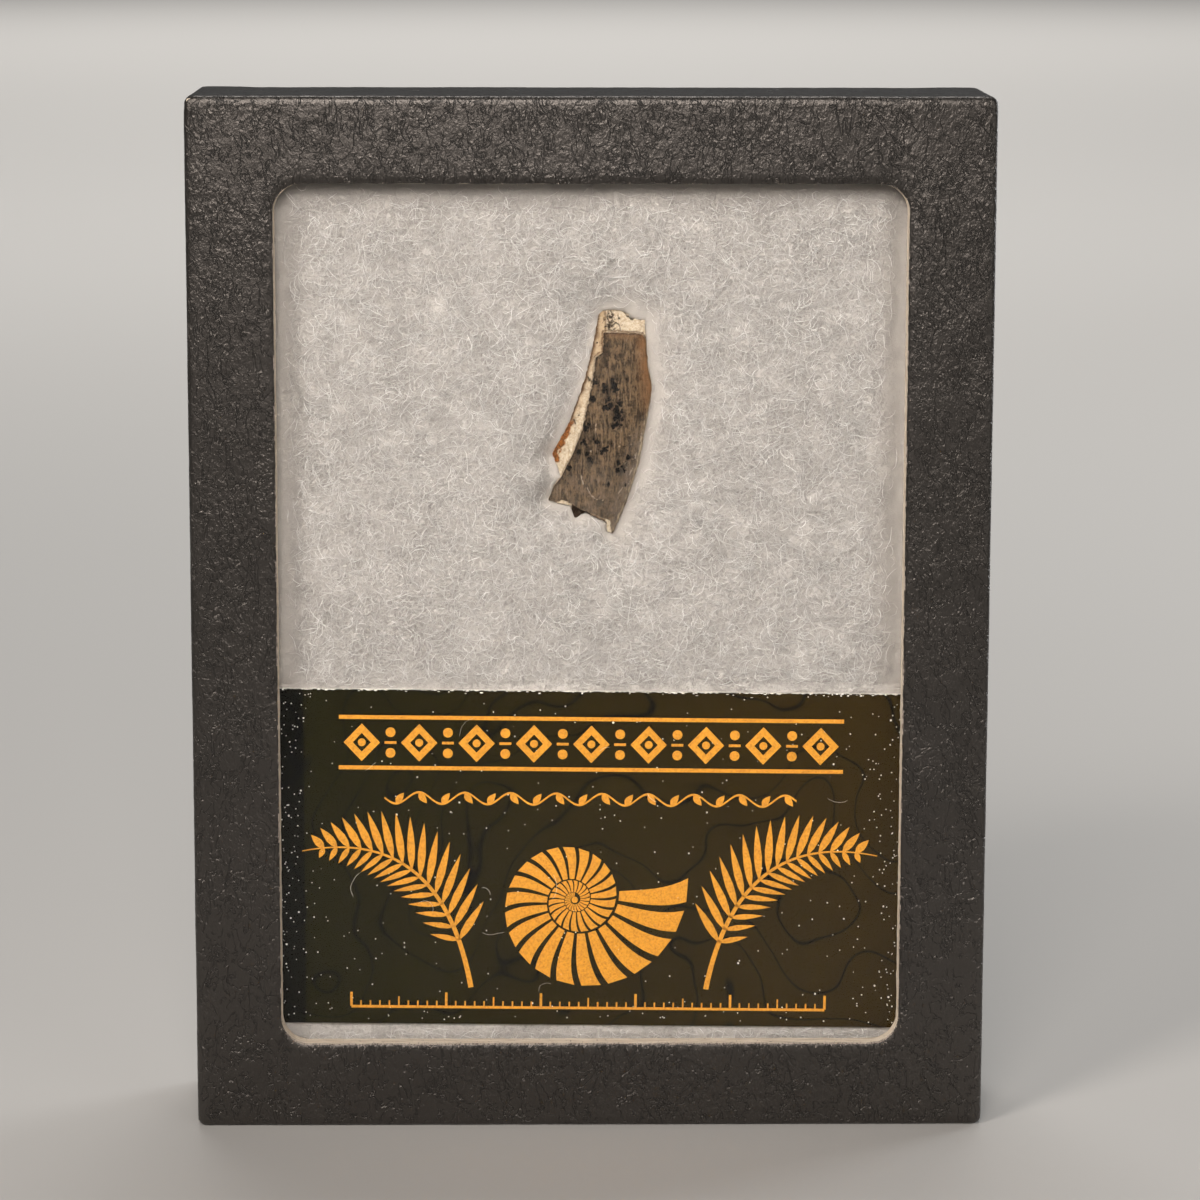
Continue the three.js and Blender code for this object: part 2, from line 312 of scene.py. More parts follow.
class Shader:
    """A material's nodes while they are put together."""

    def __init__(self, name: str) -> None:
        """Starts a material with one Principled shader.

        Args:
            name: The material's name.
        """
        self.material = bpy.data.materials.new(name)
        self.material.use_nodes = True
        self.tree = self.material.node_tree
        self.surface = self.tree.nodes["Principled BSDF"]

    def node(self, kind: str, **settings: object) -> bpy.types.Node:
        """Adds a node.

        Args:
            kind: The node's type, without the word ShaderNode.
            settings: Its properties.

        Returns:
            The node.
        """
        made = self.tree.nodes.new("ShaderNode" + kind)
        for name, value in settings.items():
            setattr(made, name, value)
        return made

    def feed(self, socket: Socket, value: Socket | float | Sequence[float]) -> None:
        """Links a socket to another, or sets it to a plain value.

        Args:
            socket: The input.
            value: An output, a number, or a colour or vector.
        """
        if isinstance(value, bpy.types.NodeSocket):
            self.tree.links.new(value, socket)
        elif isinstance(value, (int, float)):
            socket.default_value = value
        else:
            value = tuple(value)
            room = len(socket.default_value)
            socket.default_value = value + (1.0,) * (room - len(value))

    def fill(self, made: bpy.types.Node, **values: Socket | float | Sequence[float]) -> None:
        """Feeds a node's inputs by their names, with underscores for the spaces in them."""
        for name, value in values.items():
            self.feed(made.inputs[name.replace("_", " ")], value)

    def set(self, **values: Socket | float | Sequence[float]) -> None:
        """Feeds the Principled shader's inputs."""
        self.fill(self.surface, **values)

    def place(self, stretch: Sequence[float] = (1, 1, 1), lean: float = 0.0) -> Socket:
        """The place on the piece in millimetres.

        Args:
            stretch: How much the pattern is squeezed along X, Y and Z.
            lean: Turn of the pattern about Y, in degrees.

        Returns:
            A vector output.
        """
        made = self.node("Mapping", vector_type="POINT")
        self.fill(
            made, Vector=self.node("TexCoord").outputs["Object"],
            Rotation=(0, -math.radians(lean), 0), Scale=[s / MM for s in stretch],
        )
        return made.outputs[0]

    def attribute(self, name: str) -> Socket:
        """A value that the mesh carries."""
        return self.node("Attribute", attribute_name=name).outputs["Fac"]

    def noise(
        self, place: Socket, size: float, detail: float = 2, rough: float = 0.5, bend: float = 0
    ) -> Socket:
        """Noise from 0 to 1.

        Args:
            place: Where it is read.
            size: Length of its waves in millimetres.
            detail: How many finer layers it has.
            rough: How strong those are.
            bend: How much it is warped.

        Returns:
            A value output.
        """
        made = self.node("TexNoise")
        self.fill(made, Vector=place, Scale=1 / size, Detail=detail, Roughness=rough, Distortion=bend)
        return made.outputs["Fac"]

    def maths(self, operation: str, first: Socket | float, second: Socket | float = 0.0) -> Socket:
        """Works on two values.

        Args:
            operation: What is done; the outcome is held between 0 and 1 if this ends in an exclamation mark.
            first: One value.
            second: The other.

        Returns:
            A value output.
        """
        made = self.node("Math", operation=operation.rstrip("!"), use_clamp=operation.endswith("!"))
        self.feed(made.inputs[0], first)
        self.feed(made.inputs[1], second)
        return made.outputs[0]

    def plus(self, first: Socket, second: Socket | float) -> Socket:
        """The sum of two values."""
        return self.maths("ADD", first, second)

    def times(self, first: Socket, second: Socket | float) -> Socket:
        """The product of two values."""
        return self.maths("MULTIPLY", first, second)

    def fade(self, value: Socket, low: float, high: float, to: Pair = (0, 1)) -> Socket:
        """Maps a value from one range to another, smoothly and without passing its ends.

        Args:
            value: The value.
            low: Where the mapping starts.
            high: Where it ends.
            to: What it gives at its start and end.

        Returns:
            A value output.
        """
        made = self.node("MapRange", interpolation_type="SMOOTHSTEP")
        self.fill(made, Value=value, From_Min=low, From_Max=high, To_Min=to[0], To_Max=to[1])
        return made.outputs["Result"]

    def about_half(self, noise: Socket) -> Socket:
        """A value from 0 to 1, moved to lie about 0."""
        return self.maths("SUBTRACT", noise, 0.5)

    def threads(self, noise: Socket, width: float, to: Pair) -> Socket:
        """Thin lines where a noise passes its middle, and what they give on them and beside them."""
        return self.fade(self.maths("ABSOLUTE", self.about_half(noise)), 0.0, width, to)

    def blend(self, share: Socket | float, first: Socket | Colour, second: Socket | Colour) -> Socket:
        """Mixes two colours.

        Args:
            share: How much of the second one shows.
            first: Colour at 0.
            second: Colour at 1.

        Returns:
            A colour output.
        """
        made = self.node("Mix", data_type="RGBA")
        self.feed(made.inputs["Factor"], share)
        self.feed(made.inputs[6], first)
        self.feed(made.inputs[7], second)
        return made.outputs[2]

    def bump(self, height: Socket, reach: float, below: Socket | None = None) -> Socket:
        """Turns a height into a normal.

        Args:
            height: Height from 0 to 1.
            reach: What 1 stands for, in millimetres.
            below: A coarser bump that this one lies on.

        Returns:
            A normal output.
        """
        made = self.node("Bump")
        self.fill(made, Height=height, Distance=reach * MM)
        if below:
            self.fill(made, Normal=below)
        return made.outputs[0]


class Finish:
    """A finish: its colours and sizes, and how a material is put together from them."""

    name: str

    def paint(self, s: Shader) -> None:
        """Puts the nodes together; each finish has its own way."""
        raise NotImplementedError

    def make(self) -> bpy.types.Material:
        """Builds the material.

        Returns:
            The material.
        """
        shader = Shader(self.name)
        self.paint(shader)
        return shader.material


@dataclass(frozen=True)
class EmbossedPaper(Finish):
    """Black paper with a leather grain: fine wrinkles, and longer creases that wander over them; its colour
    is painted shade in the hollows and painted light on the crowns.
    """

    name: str = "embossed_black_paper"
    # The hollow colour is painted shade for the grain's hollows, the crown colour painted light for its
    # crowns.
    hollow: Colour = (0.0016, 0.0015, 0.0012)
    crown: Colour = (0.0105, 0.0090, 0.0077)
    rubbed: Colour = (0.022, 0.020, 0.018)
    gloss: Colour = (1.0, 0.91, 0.83)
    wrinkle: float = 0.42
    fold: float = 3.0
    crack: float = 1.15
    relief: float = 0.34

    def paint(self, s: Shader) -> None:
        """Puts the nodes together.

        Args:
            s: The material's nodes.
        """
        place = s.place()
        pebbles = s.noise(s.place((1.0, 1.0, 0.72), 14), self.wrinkle, 2, 0.55, 0.3)
        hatch = s.noise(s.place((1.7, 1.0, 0.62), 36), self.wrinkle * 1.3, 3, 0.6, 0.3)
        folds = s.noise(s.place((1.0, 1.0, 0.6), 30), self.fold, 3, 0.6, 0.5)
        crease = s.threads(folds, 0.016, (0.6, 1.0))
        cracks = s.noise(s.place((1.0, 1.0, 0.7), -20), self.crack, 3, 0.6, 0.6)
        crack = s.threads(cracks, 0.028, (0.5, 1.0))
        broken = s.fade(s.noise(place, 1.7, 2), 0.46, 0.56)
        crack = s.maths("MAXIMUM", crack, broken)
        calm = s.fade(s.noise(place, 7.0, 2), 0.36, 0.62, (0.28, 0.62))
        body = s.plus(s.times(pebbles, 0.6), s.times(hatch, 0.4))
        body = s.plus(s.times(s.about_half(body), calm), 0.52)
        height = s.times(s.times(body, crease), crack)
        worn = s.attribute("wear")
        height = s.times(height, s.fade(worn, 0.0, 1.0, (1.0, 0.8)))
        fine = s.noise(place, 0.16, 2, 0.6)
        # Painted shade in the hollows and painted light on the crowns, by the grain's height.
        coat = s.blend(s.fade(height, 0.25, 0.6), self.hollow, self.crown)
        s.set(
            Base_Color=s.blend(s.times(worn, fine), coat, self.rubbed),
            Roughness=s.fade(height, 0.25, 0.55, (0.46, 0.32)),
            Coat_Weight=0.2,
            Coat_Roughness=0.36,
            Specular_IOR_Level=0.9,
            Specular_Tint=self.gloss,
            Normal=s.bump(fine, 0.02, s.bump(height, self.relief)),
        )


@dataclass(frozen=True)
class PaperCore(Finish):
    """Torn core of the black paper: pinkish grey and fibrous."""

    name: str = "torn_paper_core"
    pale: Colour = (0.58, 0.49, 0.42)
    dark: Colour = (0.16, 0.13, 0.11)

    def paint(self, s: Shader) -> None:
        """Puts the nodes together.

        Args:
            s: The material's nodes.
        """
        threads = s.noise(s.place((4.0, 1.0, 1.0)), 0.5, 3, 0.6)
        s.set(
            Base_Color=s.blend(s.fade(threads, 0.35, 0.6), self.dark, self.pale),
            Roughness=0.92,
            Specular_IOR_Level=0.2,
            Normal=s.bump(threads, 0.06),
        )


@dataclass(frozen=True)
class PlainPaper(Finish):
    """Smooth black paper, with its faint fibres and a few rubbed places."""

    name: str = "plain_black_paper"
    base: Colour = (0.011, 0.0105, 0.010)
    rubbed: Colour = (0.035, 0.033, 0.031)

    def paint(self, s: Shader) -> None:
        """Puts the nodes together.

        Args:
            s: The material's nodes.
        """
        place = s.place()
        fibres = s.noise(s.place((1, 1, 3)), 0.5, 4, 0.65, 0.6)
        worn = s.fade(s.noise(place, 7, 4, 0.6), 0.56, 0.75)
        s.set(
            Base_Color=s.blend(s.times(worn, fibres), self.base, self.rubbed),
            Roughness=s.fade(fibres, 0.25, 0.8, (0.75, 0.55)),
            Specular_IOR_Level=0.4,
            Normal=s.bump(fibres, 0.02, s.bump(s.noise(place, 5, 2), 0.12)),
        )


@dataclass(frozen=True)
class ChipBoard(Finish):
    """Raw cut board: thin layers of pressed fibre, cream with grey and brown flecks."""

    name: str = "raw_chipboard"
    pale: Colour = (0.93, 0.82, 0.67)
    dark: Colour = (0.74, 0.62, 0.48)
    fleck: Colour = (0.30, 0.23, 0.17)

    def paint(self, s: Shader) -> None:
        """Puts the nodes together.

        Args:
            s: The material's nodes.
        """
        place = s.place()
        layers = s.noise(s.place((0.35, 5, 0.35)), 0.9, 4, 0.6, 0.4)
        fuzz = s.noise(place, 0.16, 3, 0.7)
        flecks = s.fade(s.noise(place, 0.3, 2, 0.5), 0.66, 0.74)
        board = s.blend(s.fade(layers, 0.35, 0.62), self.dark, self.pale)
        s.set(
            Base_Color=s.blend(flecks, board, self.fleck),
            Roughness=0.92,
            Specular_IOR_Level=0.2,
            Normal=s.bump(fuzz, 0.05, s.bump(layers, 0.08)),
        )


@dataclass(frozen=True)
class ClearPane(Finish):
    """Thin float glass with the faintest smears."""

    name: str = "clear_pane"
    tint: Colour = (0.985, 0.995, 0.99)
    bending: float = 1.27

    def paint(self, s: Shader) -> None:
        """Puts the nodes together.

        Args:
            s: The material's nodes.
        """
        smear = s.noise(s.place((1, 1, 0.4)), 9, 4, 0.6, 1.5)
        s.set(
            Base_Color=self.tint,
            Roughness=s.fade(smear, 0.45, 0.8, (0.0, 0.05)),
            IOR=self.bending,
            Transmission_Weight=1.0,
        )


@dataclass(frozen=True)
class PolyesterPad(Finish):
    """The body of the batting: matted fibres seen as thin curling lines; its colour is painted light and
    shade, with painted shade in the gaps between the fibres, and the smooth matted zones are flat and
    darker, partly painted shade.
    """

    name: str = "polyester_pad"
    # lit and shade are painted lit and shaded copies of the pad's colour.
    lit: Colour = (0.56, 0.525, 0.495)
    shade: Colour = (0.37, 0.342, 0.315)
    # The flat colour of the smooth matted zones, set darker than the open pad as painted shade of the lid's
    # edge and of the shard.
    calm: Colour = (0.415, 0.382, 0.350)

    def paint(self, s: Shader) -> None:
        """Puts the nodes together.

        Args:
            s: The material's nodes.
        """
        place = s.place()
        lines: Socket | None = None
        for turn, (size, width) in enumerate(((1.1, 0.035), (0.8, 0.04), (1.5, 0.03), (0.6, 0.05))):
            here = s.node("VectorMath", operation="ADD")
            s.feed(here.inputs[0], place)
            s.feed(here.inputs[1], (13.7 * turn, 7.1 * turn, 29.3 * turn))
            wave = s.noise(here.outputs[0], size, 2.5, 0.6, 1.2)
            line = s.threads(wave, width, (1, 0))
            lines = line if lines is None else s.maths("MAXIMUM", lines, line)
        clumps = s.noise(place, 2.2, 3, 0.6)
        # Painted shade in the small gaps between the fibres.
        shaded_gaps = s.fade(s.noise(place, 0.42, 2, 0.6), 0.36, 0.5, (-0.45, 0.0))
        tone = s.plus(s.times(lines, 0.5), s.fade(clumps, 0.25, 0.8, (0.45, 0.75)))
        tone = s.maths("ADD!", tone, shaded_gaps)
        calm = s.attribute("calm")
        height = s.maths("ADD!", s.times(lines, 0.6), clumps)
        s.set(
            # The smooth matted zones take the darker flat colour: painted shade.
            Base_Color=s.blend(calm, s.blend(tone, self.shade, self.lit), self.calm),
            Roughness=0.85,
            Specular_IOR_Level=0.2,
            Normal=s.bump(s.times(height, s.fade(calm, 0, 1, (1, 0.1))), 0.14),
        )


@dataclass(frozen=True)
class PolyesterFibre(Finish):
    """One crimped white fibre."""

    name: str = "polyester_fibre"
    bright: Colour = (0.92, 0.90, 0.875)
    dull: Colour = (0.51, 0.48, 0.455)

    def paint(self, s: Shader) -> None:
        """Puts the nodes together.

        Args:
            s: The material's nodes.
        """
        mottle = s.times(s.about_half(s.noise(s.place(), 0.7, 1)), 0.8)
        s.set(
            Base_Color=s.blend(s.maths("ADD!", s.attribute("pale"), mottle), self.dull, self.bright),
            Roughness=s.fade(s.noise(s.place(), 0.3, 1), 0.3, 0.7, (0.28, 0.45)),
            Specular_IOR_Level=0.5,
        )


@dataclass(frozen=True)
class PrintedBlack(Finish):
    """Card printed almost black, with faint contours and dust; its ground goes from dark olive on the left
    to lighter brown on the right, which is painted light, and its left strip is darkened by a painted shadow
    of the lid's left lip.
    """

    name: str = "printed_black"
    # The ground grows lighter from left to right: painted light.
    left: Colour = (0.0100, 0.0086, 0.0012)
    right: Colour = (0.026, 0.0150, 0.0022)
    line: Colour = (0.0004, 0.0004, 0.0004)
    dust: Colour = (0.55, 0.52, 0.47)
    half_width: float = 35
    # Where the painted shadow of the lid's left lip ends, across the card.
    lip_shadow: float = -29.95
    speck_gap: float = 2.6

    def paint(self, s: Shader) -> None:
        """Puts the nodes together.

        Args:
            s: The material's nodes.
        """
        place = s.place()
        across = s.node("SeparateXYZ")
        s.feed(across.inputs[0], place)
        ground = s.blend(
            s.fade(across.outputs["X"], -self.half_width, self.half_width), self.left, self.right
        )
        # Painted shadow of the lid's left lip over the card's left strip.
        lip_shadow = s.fade(across.outputs["X"], self.lip_shadow - 0.06, self.lip_shadow + 0.06, (0.75, 0.0))
        ground = s.blend(lip_shadow, ground, self.line)
        hills = s.times(s.noise(place, 17, 1.5, 0.45), 11)
        contour = s.fade(s.maths("PINGPONG", hills, 0.5), 0.0, 0.06, (1, 0))
        inked = s.blend(s.times(contour, 0.95), ground, self.line)
        cells = s.node("TexVoronoi")
        s.fill(cells, Vector=place, Scale=1 / self.speck_gap)
        specks = s.fade(cells.outputs["Distance"], 0.0, 0.05, (1, 0))
        kept = s.fade(s.noise(place, self.speck_gap, 2), 0.52, 0.6)
        s.set(
            Base_Color=s.blend(s.times(specks, kept), inked, self.dust),
            Roughness=s.fade(s.noise(place, 0.25, 3), 0.3, 0.7, (0.38, 0.5)),
            Specular_IOR_Level=0.03,
            Normal=s.bump(s.noise(place, 0.18, 2), 0.006),
        )


@dataclass(frozen=True)
class CardCore(Finish):
    """White core of the card at its cut edges."""

    name: str = "card_core"
    white: Colour = (0.80, 0.77, 0.71)
    soiled: Colour = (0.52, 0.47, 0.40)

    def paint(self, s: Shader) -> None:
        """Puts the nodes together.

        Args:
            s: The material's nodes.
        """
        mottle = s.noise(s.place((1, 3, 1)), 0.5, 3, 0.6)
        s.set(
            Base_Color=s.blend(s.fade(mottle, 0.5, 0.75), self.white, self.soiled),
            Roughness=0.9,
            Normal=s.bump(mottle, 0.02),
        )


@dataclass(frozen=True)
class GoldenInk(Finish):
    """Golden-orange print with the slight mottle of toner."""

    name: str = "golden_ink"
    rich: Colour = (0.68, 0.300, 0.024)
    thin: Colour = (0.42, 0.160, 0.010)

    def paint(self, s: Shader) -> None:
        """Puts the nodes together.

        Args:
            s: The material's nodes.
        """
        mottle = s.noise(s.place(), 0.22, 3, 0.65)
        s.set(
            Base_Color=s.blend(s.fade(mottle, 0.35, 0.8), self.rich, self.thin),
            Roughness=s.fade(mottle, 0.3, 0.7, (0.40, 0.52)),
            Specular_IOR_Level=0.25,
            Normal=s.bump(mottle, 0.005),
        )


@dataclass(frozen=True)
class FossilTooth(Finish):
    """Streaked grey-brown enamel, cream dentine where it broke, and the stains on both, with painted shade
    along the enamel's edge and on the break's leaning facets.
    """

    name: str = "fossil_tooth"
    enamel_dark: Colour = (0.020, 0.013, 0.0070)
    enamel_light: Colour = (0.145, 0.097, 0.054)
    enamel_warm: Colour = (0.190, 0.092, 0.038)
    enamel_grey: Colour = (0.150, 0.122, 0.100)
    # Painted shade along the step of the enamel's edge.
    enamel_rim: Colour = (0.016, 0.0085, 0.0045)
    pit: Colour = (0.022, 0.012, 0.006)
    cream: Colour = (0.40, 0.32, 0.22)
    # Dark brown for real stains, and for the painted shade just outside the enamel's edge.
    stain: Colour = (0.070, 0.030, 0.011)
    # Tan for real grooves, and for the painted shade on the break's leaning facets.
    tan: Colour = (0.33, 0.22, 0.115)
    dentine: Colour = (0.42, 0.335, 0.235)
    dentine_pale: Colour = (0.57, 0.49, 0.375)
    dentine_shade: Colour = (0.23, 0.145, 0.075)
    mineral: Colour = (0.0022, 0.0018, 0.0018)
    rust: Colour = (0.27, 0.095, 0.020)
    scuff: Colour = (0.34, 0.29, 0.23)
    lean: float = 11.3

    def paint(self, s: Shader) -> None:
        """Puts the nodes together.

        Args:
            s: The material's nodes.
        """
        place = s.place()
        streaks = s.noise(s.place((1, 1, 0.14), self.lean), 0.19, 2, 0.6, 0.1)
        wisps = s.noise(s.place((1, 1, 0.30), self.lean), 0.36, 3, 0.65, 0.1)
        blotch = s.noise(place, 0.8, 3, 0.65)
        fleck = s.noise(place, 0.22, 2, 0.65)
        tone = s.times(streaks, 0.36)
        for noise, share in ((wisps, 0.32), (blotch, 0.36), (fleck, 0.24)):
            tone = s.plus(tone, s.times(noise, share))
        enamel = s.blend(s.fade(tone, 0.53, 0.76), self.enamel_dark, self.enamel_light)
        enamel = s.blend(s.fade(streaks, 0.60, 0.72, (0.0, 0.45)), enamel, self.enamel_grey)
        enamel = s.blend(s.times(s.attribute("grey"), 0.6), enamel, self.enamel_grey)
        enamel = s.blend(s.times(s.attribute("warm"), 0.7), enamel, self.enamel_warm)
        # Painted shade along the step of the enamel's edge.
        enamel = s.blend(s.attribute("rim"), enamel, self.enamel_rim)
        smudge = s.times(s.attribute("smudge"), s.fade(wisps, 0.4, 0.6, (0.15, 0.9)))
        enamel = s.blend(smudge, enamel, self.mineral)
        flecked = s.about_half(fleck)
        rubbed = s.plus(s.attribute("scuff"), s.times(flecked, 2.4))
        enamel = s.blend(s.fade(rubbed, 0.45, 0.8, (0.0, 0.6)), enamel, self.scuff)
        crumb = s.noise(place, 0.22, 3, 0.65)
        grooves = s.noise(s.place((1, 1, 0.12), self.lean), 0.16, 2, 0.6)
        bone = s.blend(s.fade(crumb, 0.38, 0.62), self.dentine, self.dentine_pale)
        bone = s.blend(s.times(s.fade(grooves, 0.52, 0.72), 0.5), bone, self.tan)
        bone = s.blend(s.times(s.fade(crumb, 0.62, 0.76), 0.6), bone, self.dentine_shade)
        # Painted shade on the break's leaning facets.
        bone = s.blend(s.attribute("tan"), bone, self.tan)
        worn_rim = s.times(s.attribute("pale_rim"), s.fade(wisps, 0.42, 0.6, (0.35, 1.0)))
        enamel = s.blend(worn_rim, enamel, self.cream)
        tooth = s.blend(s.attribute("enamel"), bone, enamel)
        # Real stains, with painted shade just outside the enamel's edge.
        tooth = s.blend(s.attribute("stain"), tooth, self.stain)
        tooth = s.blend(s.attribute("pit"), tooth, self.pit)
        tooth = s.blend(s.attribute("rust"), tooth, s.blend(s.fade(fleck, 0.3, 0.7), self.stain, self.rust))
        spotted = s.plus(s.attribute("mineral"), s.times(flecked, 0.9))
        tooth = s.blend(s.fade(spotted, 0.45, 0.54, (0.0, 0.97)), tooth, self.mineral)
        glaze = s.fade(s.attribute("enamel"), 0.3, 0.7, (0.8, 0.52))
        s.set(
            Base_Color=tooth,
            Roughness=s.maths("ADD!", glaze, s.fade(streaks, 0.3, 0.8, (0.12, -0.06))),
            Specular_IOR_Level=0.12,
            Normal=s.bump(crumb, 0.045, s.bump(streaks, 0.06)),
        )


@dataclass(frozen=True)
class PlatedSteel(Finish):
    """Bright plated pin steel with drawing marks."""

    name: str = "plated_steel"
    metal: Colour = (0.66, 0.65, 0.62)

    def paint(self, s: Shader) -> None:
        """Puts the nodes together.

        Args:
            s: The material's nodes.
        """
        marks = s.noise(s.place((0.3, 3, 3)), 0.2, 2)
        s.set(
            Base_Color=self.metal,
            Metallic=1.0,
            Roughness=s.fade(marks, 0.3, 0.7, (0.18, 0.34)),
            Normal=s.bump(marks, 0.004),
        )


@dataclass(frozen=True)
class PaleFloor(Finish):
    """Plain pale studio floor."""

    name: str = "pale_floor"
    base: Colour = (0.60, 0.585, 0.56)

    def paint(self, s: Shader) -> None:
        """Puts the nodes together.

        Args:
            s: The material's nodes.
        """
        s.set(Base_Color=self.base, Roughness=0.85, Specular_IOR_Level=0.2)


# ---- Outlines that the lid's pieces share ----


@dataclass
class LidOutline:
    """Matching rings of points round the window and round the case.

    Every point has a foot on the core of the window, inside its round corners, and a direction outwards.
    """

    lid: Span
    border: float = 8.8
    corner: float = 3.0
    step: float = 0.52
    corner_steps: int = 20
    feet: Array = field(init=False)
    outwards: Array = field(init=False)

    def __post_init__(self) -> None:
        """Works out the feet and the directions once."""
        half = np.array([self.lid.size.x, self.lid.size.z]) / 2 - self.border - self.corner
        turns = np.linspace(0, 1, self.corner_steps + 1)
        quarter = np.concatenate([np.arctan(turns), np.pi / 2 - np.arctan(turns[-2::-1])])
        feet, outwards = [], []
        corners = [half * np.array(signs) for signs in ((1, 1), (-1, 1), (-1, -1), (1, -1))]
        for side, corner in enumerate(corners):
            for angle in quarter + side * np.pi / 2:
                feet.append(corner)
                outwards.append((math.cos(angle), math.sin(angle)))
            following = corners[(side + 1) % 4]
            count = round(float(np.abs(following - corner).max()) / self.step)
            for share in np.arange(1, count) / count:
                feet.append(corner + (following - corner) * share)
                outwards.append(outwards[-1])
        self.feet = np.array(feet)
        self.outwards = np.array(outwards)

    def ring(self, flat: Array, depth: float | Array) -> Array:
        """Stands a flat outline up in the case, at a depth along Y."""
        depths = np.broadcast_to(depth, (len(flat),))
        return np.column_stack([flat[:, 0], depths, flat[:, 1] + self.lid.centre.z])

    def window(self, outset: float | Array = 0.0) -> Array:
        """The window's outline, or one that lies outside it by a distance."""
        reach = self.corner + np.broadcast_to(outset, (len(self.feet),))
        return self.feet + self.outwards * reach[:, None]

    def case(self, inset: float = 0.0, radius: float = 0.9) -> Array:
        """The case's outline, or one inside it.

        Args:
            inset: How far inside it lies.
            radius: Radius of its corners.

        Returns:
            Places across and up, about the middle of the case.
        """
        reach = self.border + self.corner - inset
        flat = self.feet + self.outwards * reach / np.abs(self.outwards).max(axis=1)[:, None]
        half = np.array([self.lid.size.x, self.lid.size.z]) / 2 - inset - radius
        over = np.abs(flat) - half
        in_corner = (over > 0).all(axis=1)
        length = np.linalg.norm(over, axis=1)
        pulled = np.sign(flat) * (half + over * radius / np.maximum(length, 1e-9)[:, None])
        return np.where(in_corner[:, None], pulled, flat)


def sweep(name: str, rings: Sequence[Array], closed: bool) -> Piece:
    """Models a band: a circle is added, set on the first ring, and extruded to each next one.

    Args:
        name: The piece's name.
        rings: The places of each ring's points.
        closed: Whether the last ring is bridged to the first.

    Returns:
        The band, with its faces outwards.
    """
    bpy.ops.mesh.primitive_circle_add(vertices=len(rings[0]), radius=1)
    piece = start_piece(name)
    order = piece.data.attributes.new("order", "INT", "POINT")
    order.data.foreach_set("value", np.arange(len(rings[0]), dtype=np.int32))
    place_points(piece, rings[0])
    bpy.ops.object.mode_set(mode="EDIT")
    bpy.ops.mesh.select_mode(type="EDGE")
    bpy.ops.mesh.select_all(action="SELECT")
    for ring in rings[1:]:
        bpy.ops.mesh.extrude_edges_move()
        work = bmesh.from_edit_mesh(piece.data)
        number = work.verts.layers.int["order"]
        for corner in work.verts:
            if corner.select:
                corner.co = ring[corner[number]]
    if closed:
        pick(piece, Part.EDGES, lambda edge: edge.is_boundary)
        bpy.ops.mesh.bridge_edge_loops()
    bpy.ops.mesh.select_all(action="SELECT")
    bpy.ops.mesh.normals_make_consistent(inside=False)
    leave_edit()
    piece.data.attributes.remove(piece.data.attributes["order"])
    return piece


# ---- Lid ----


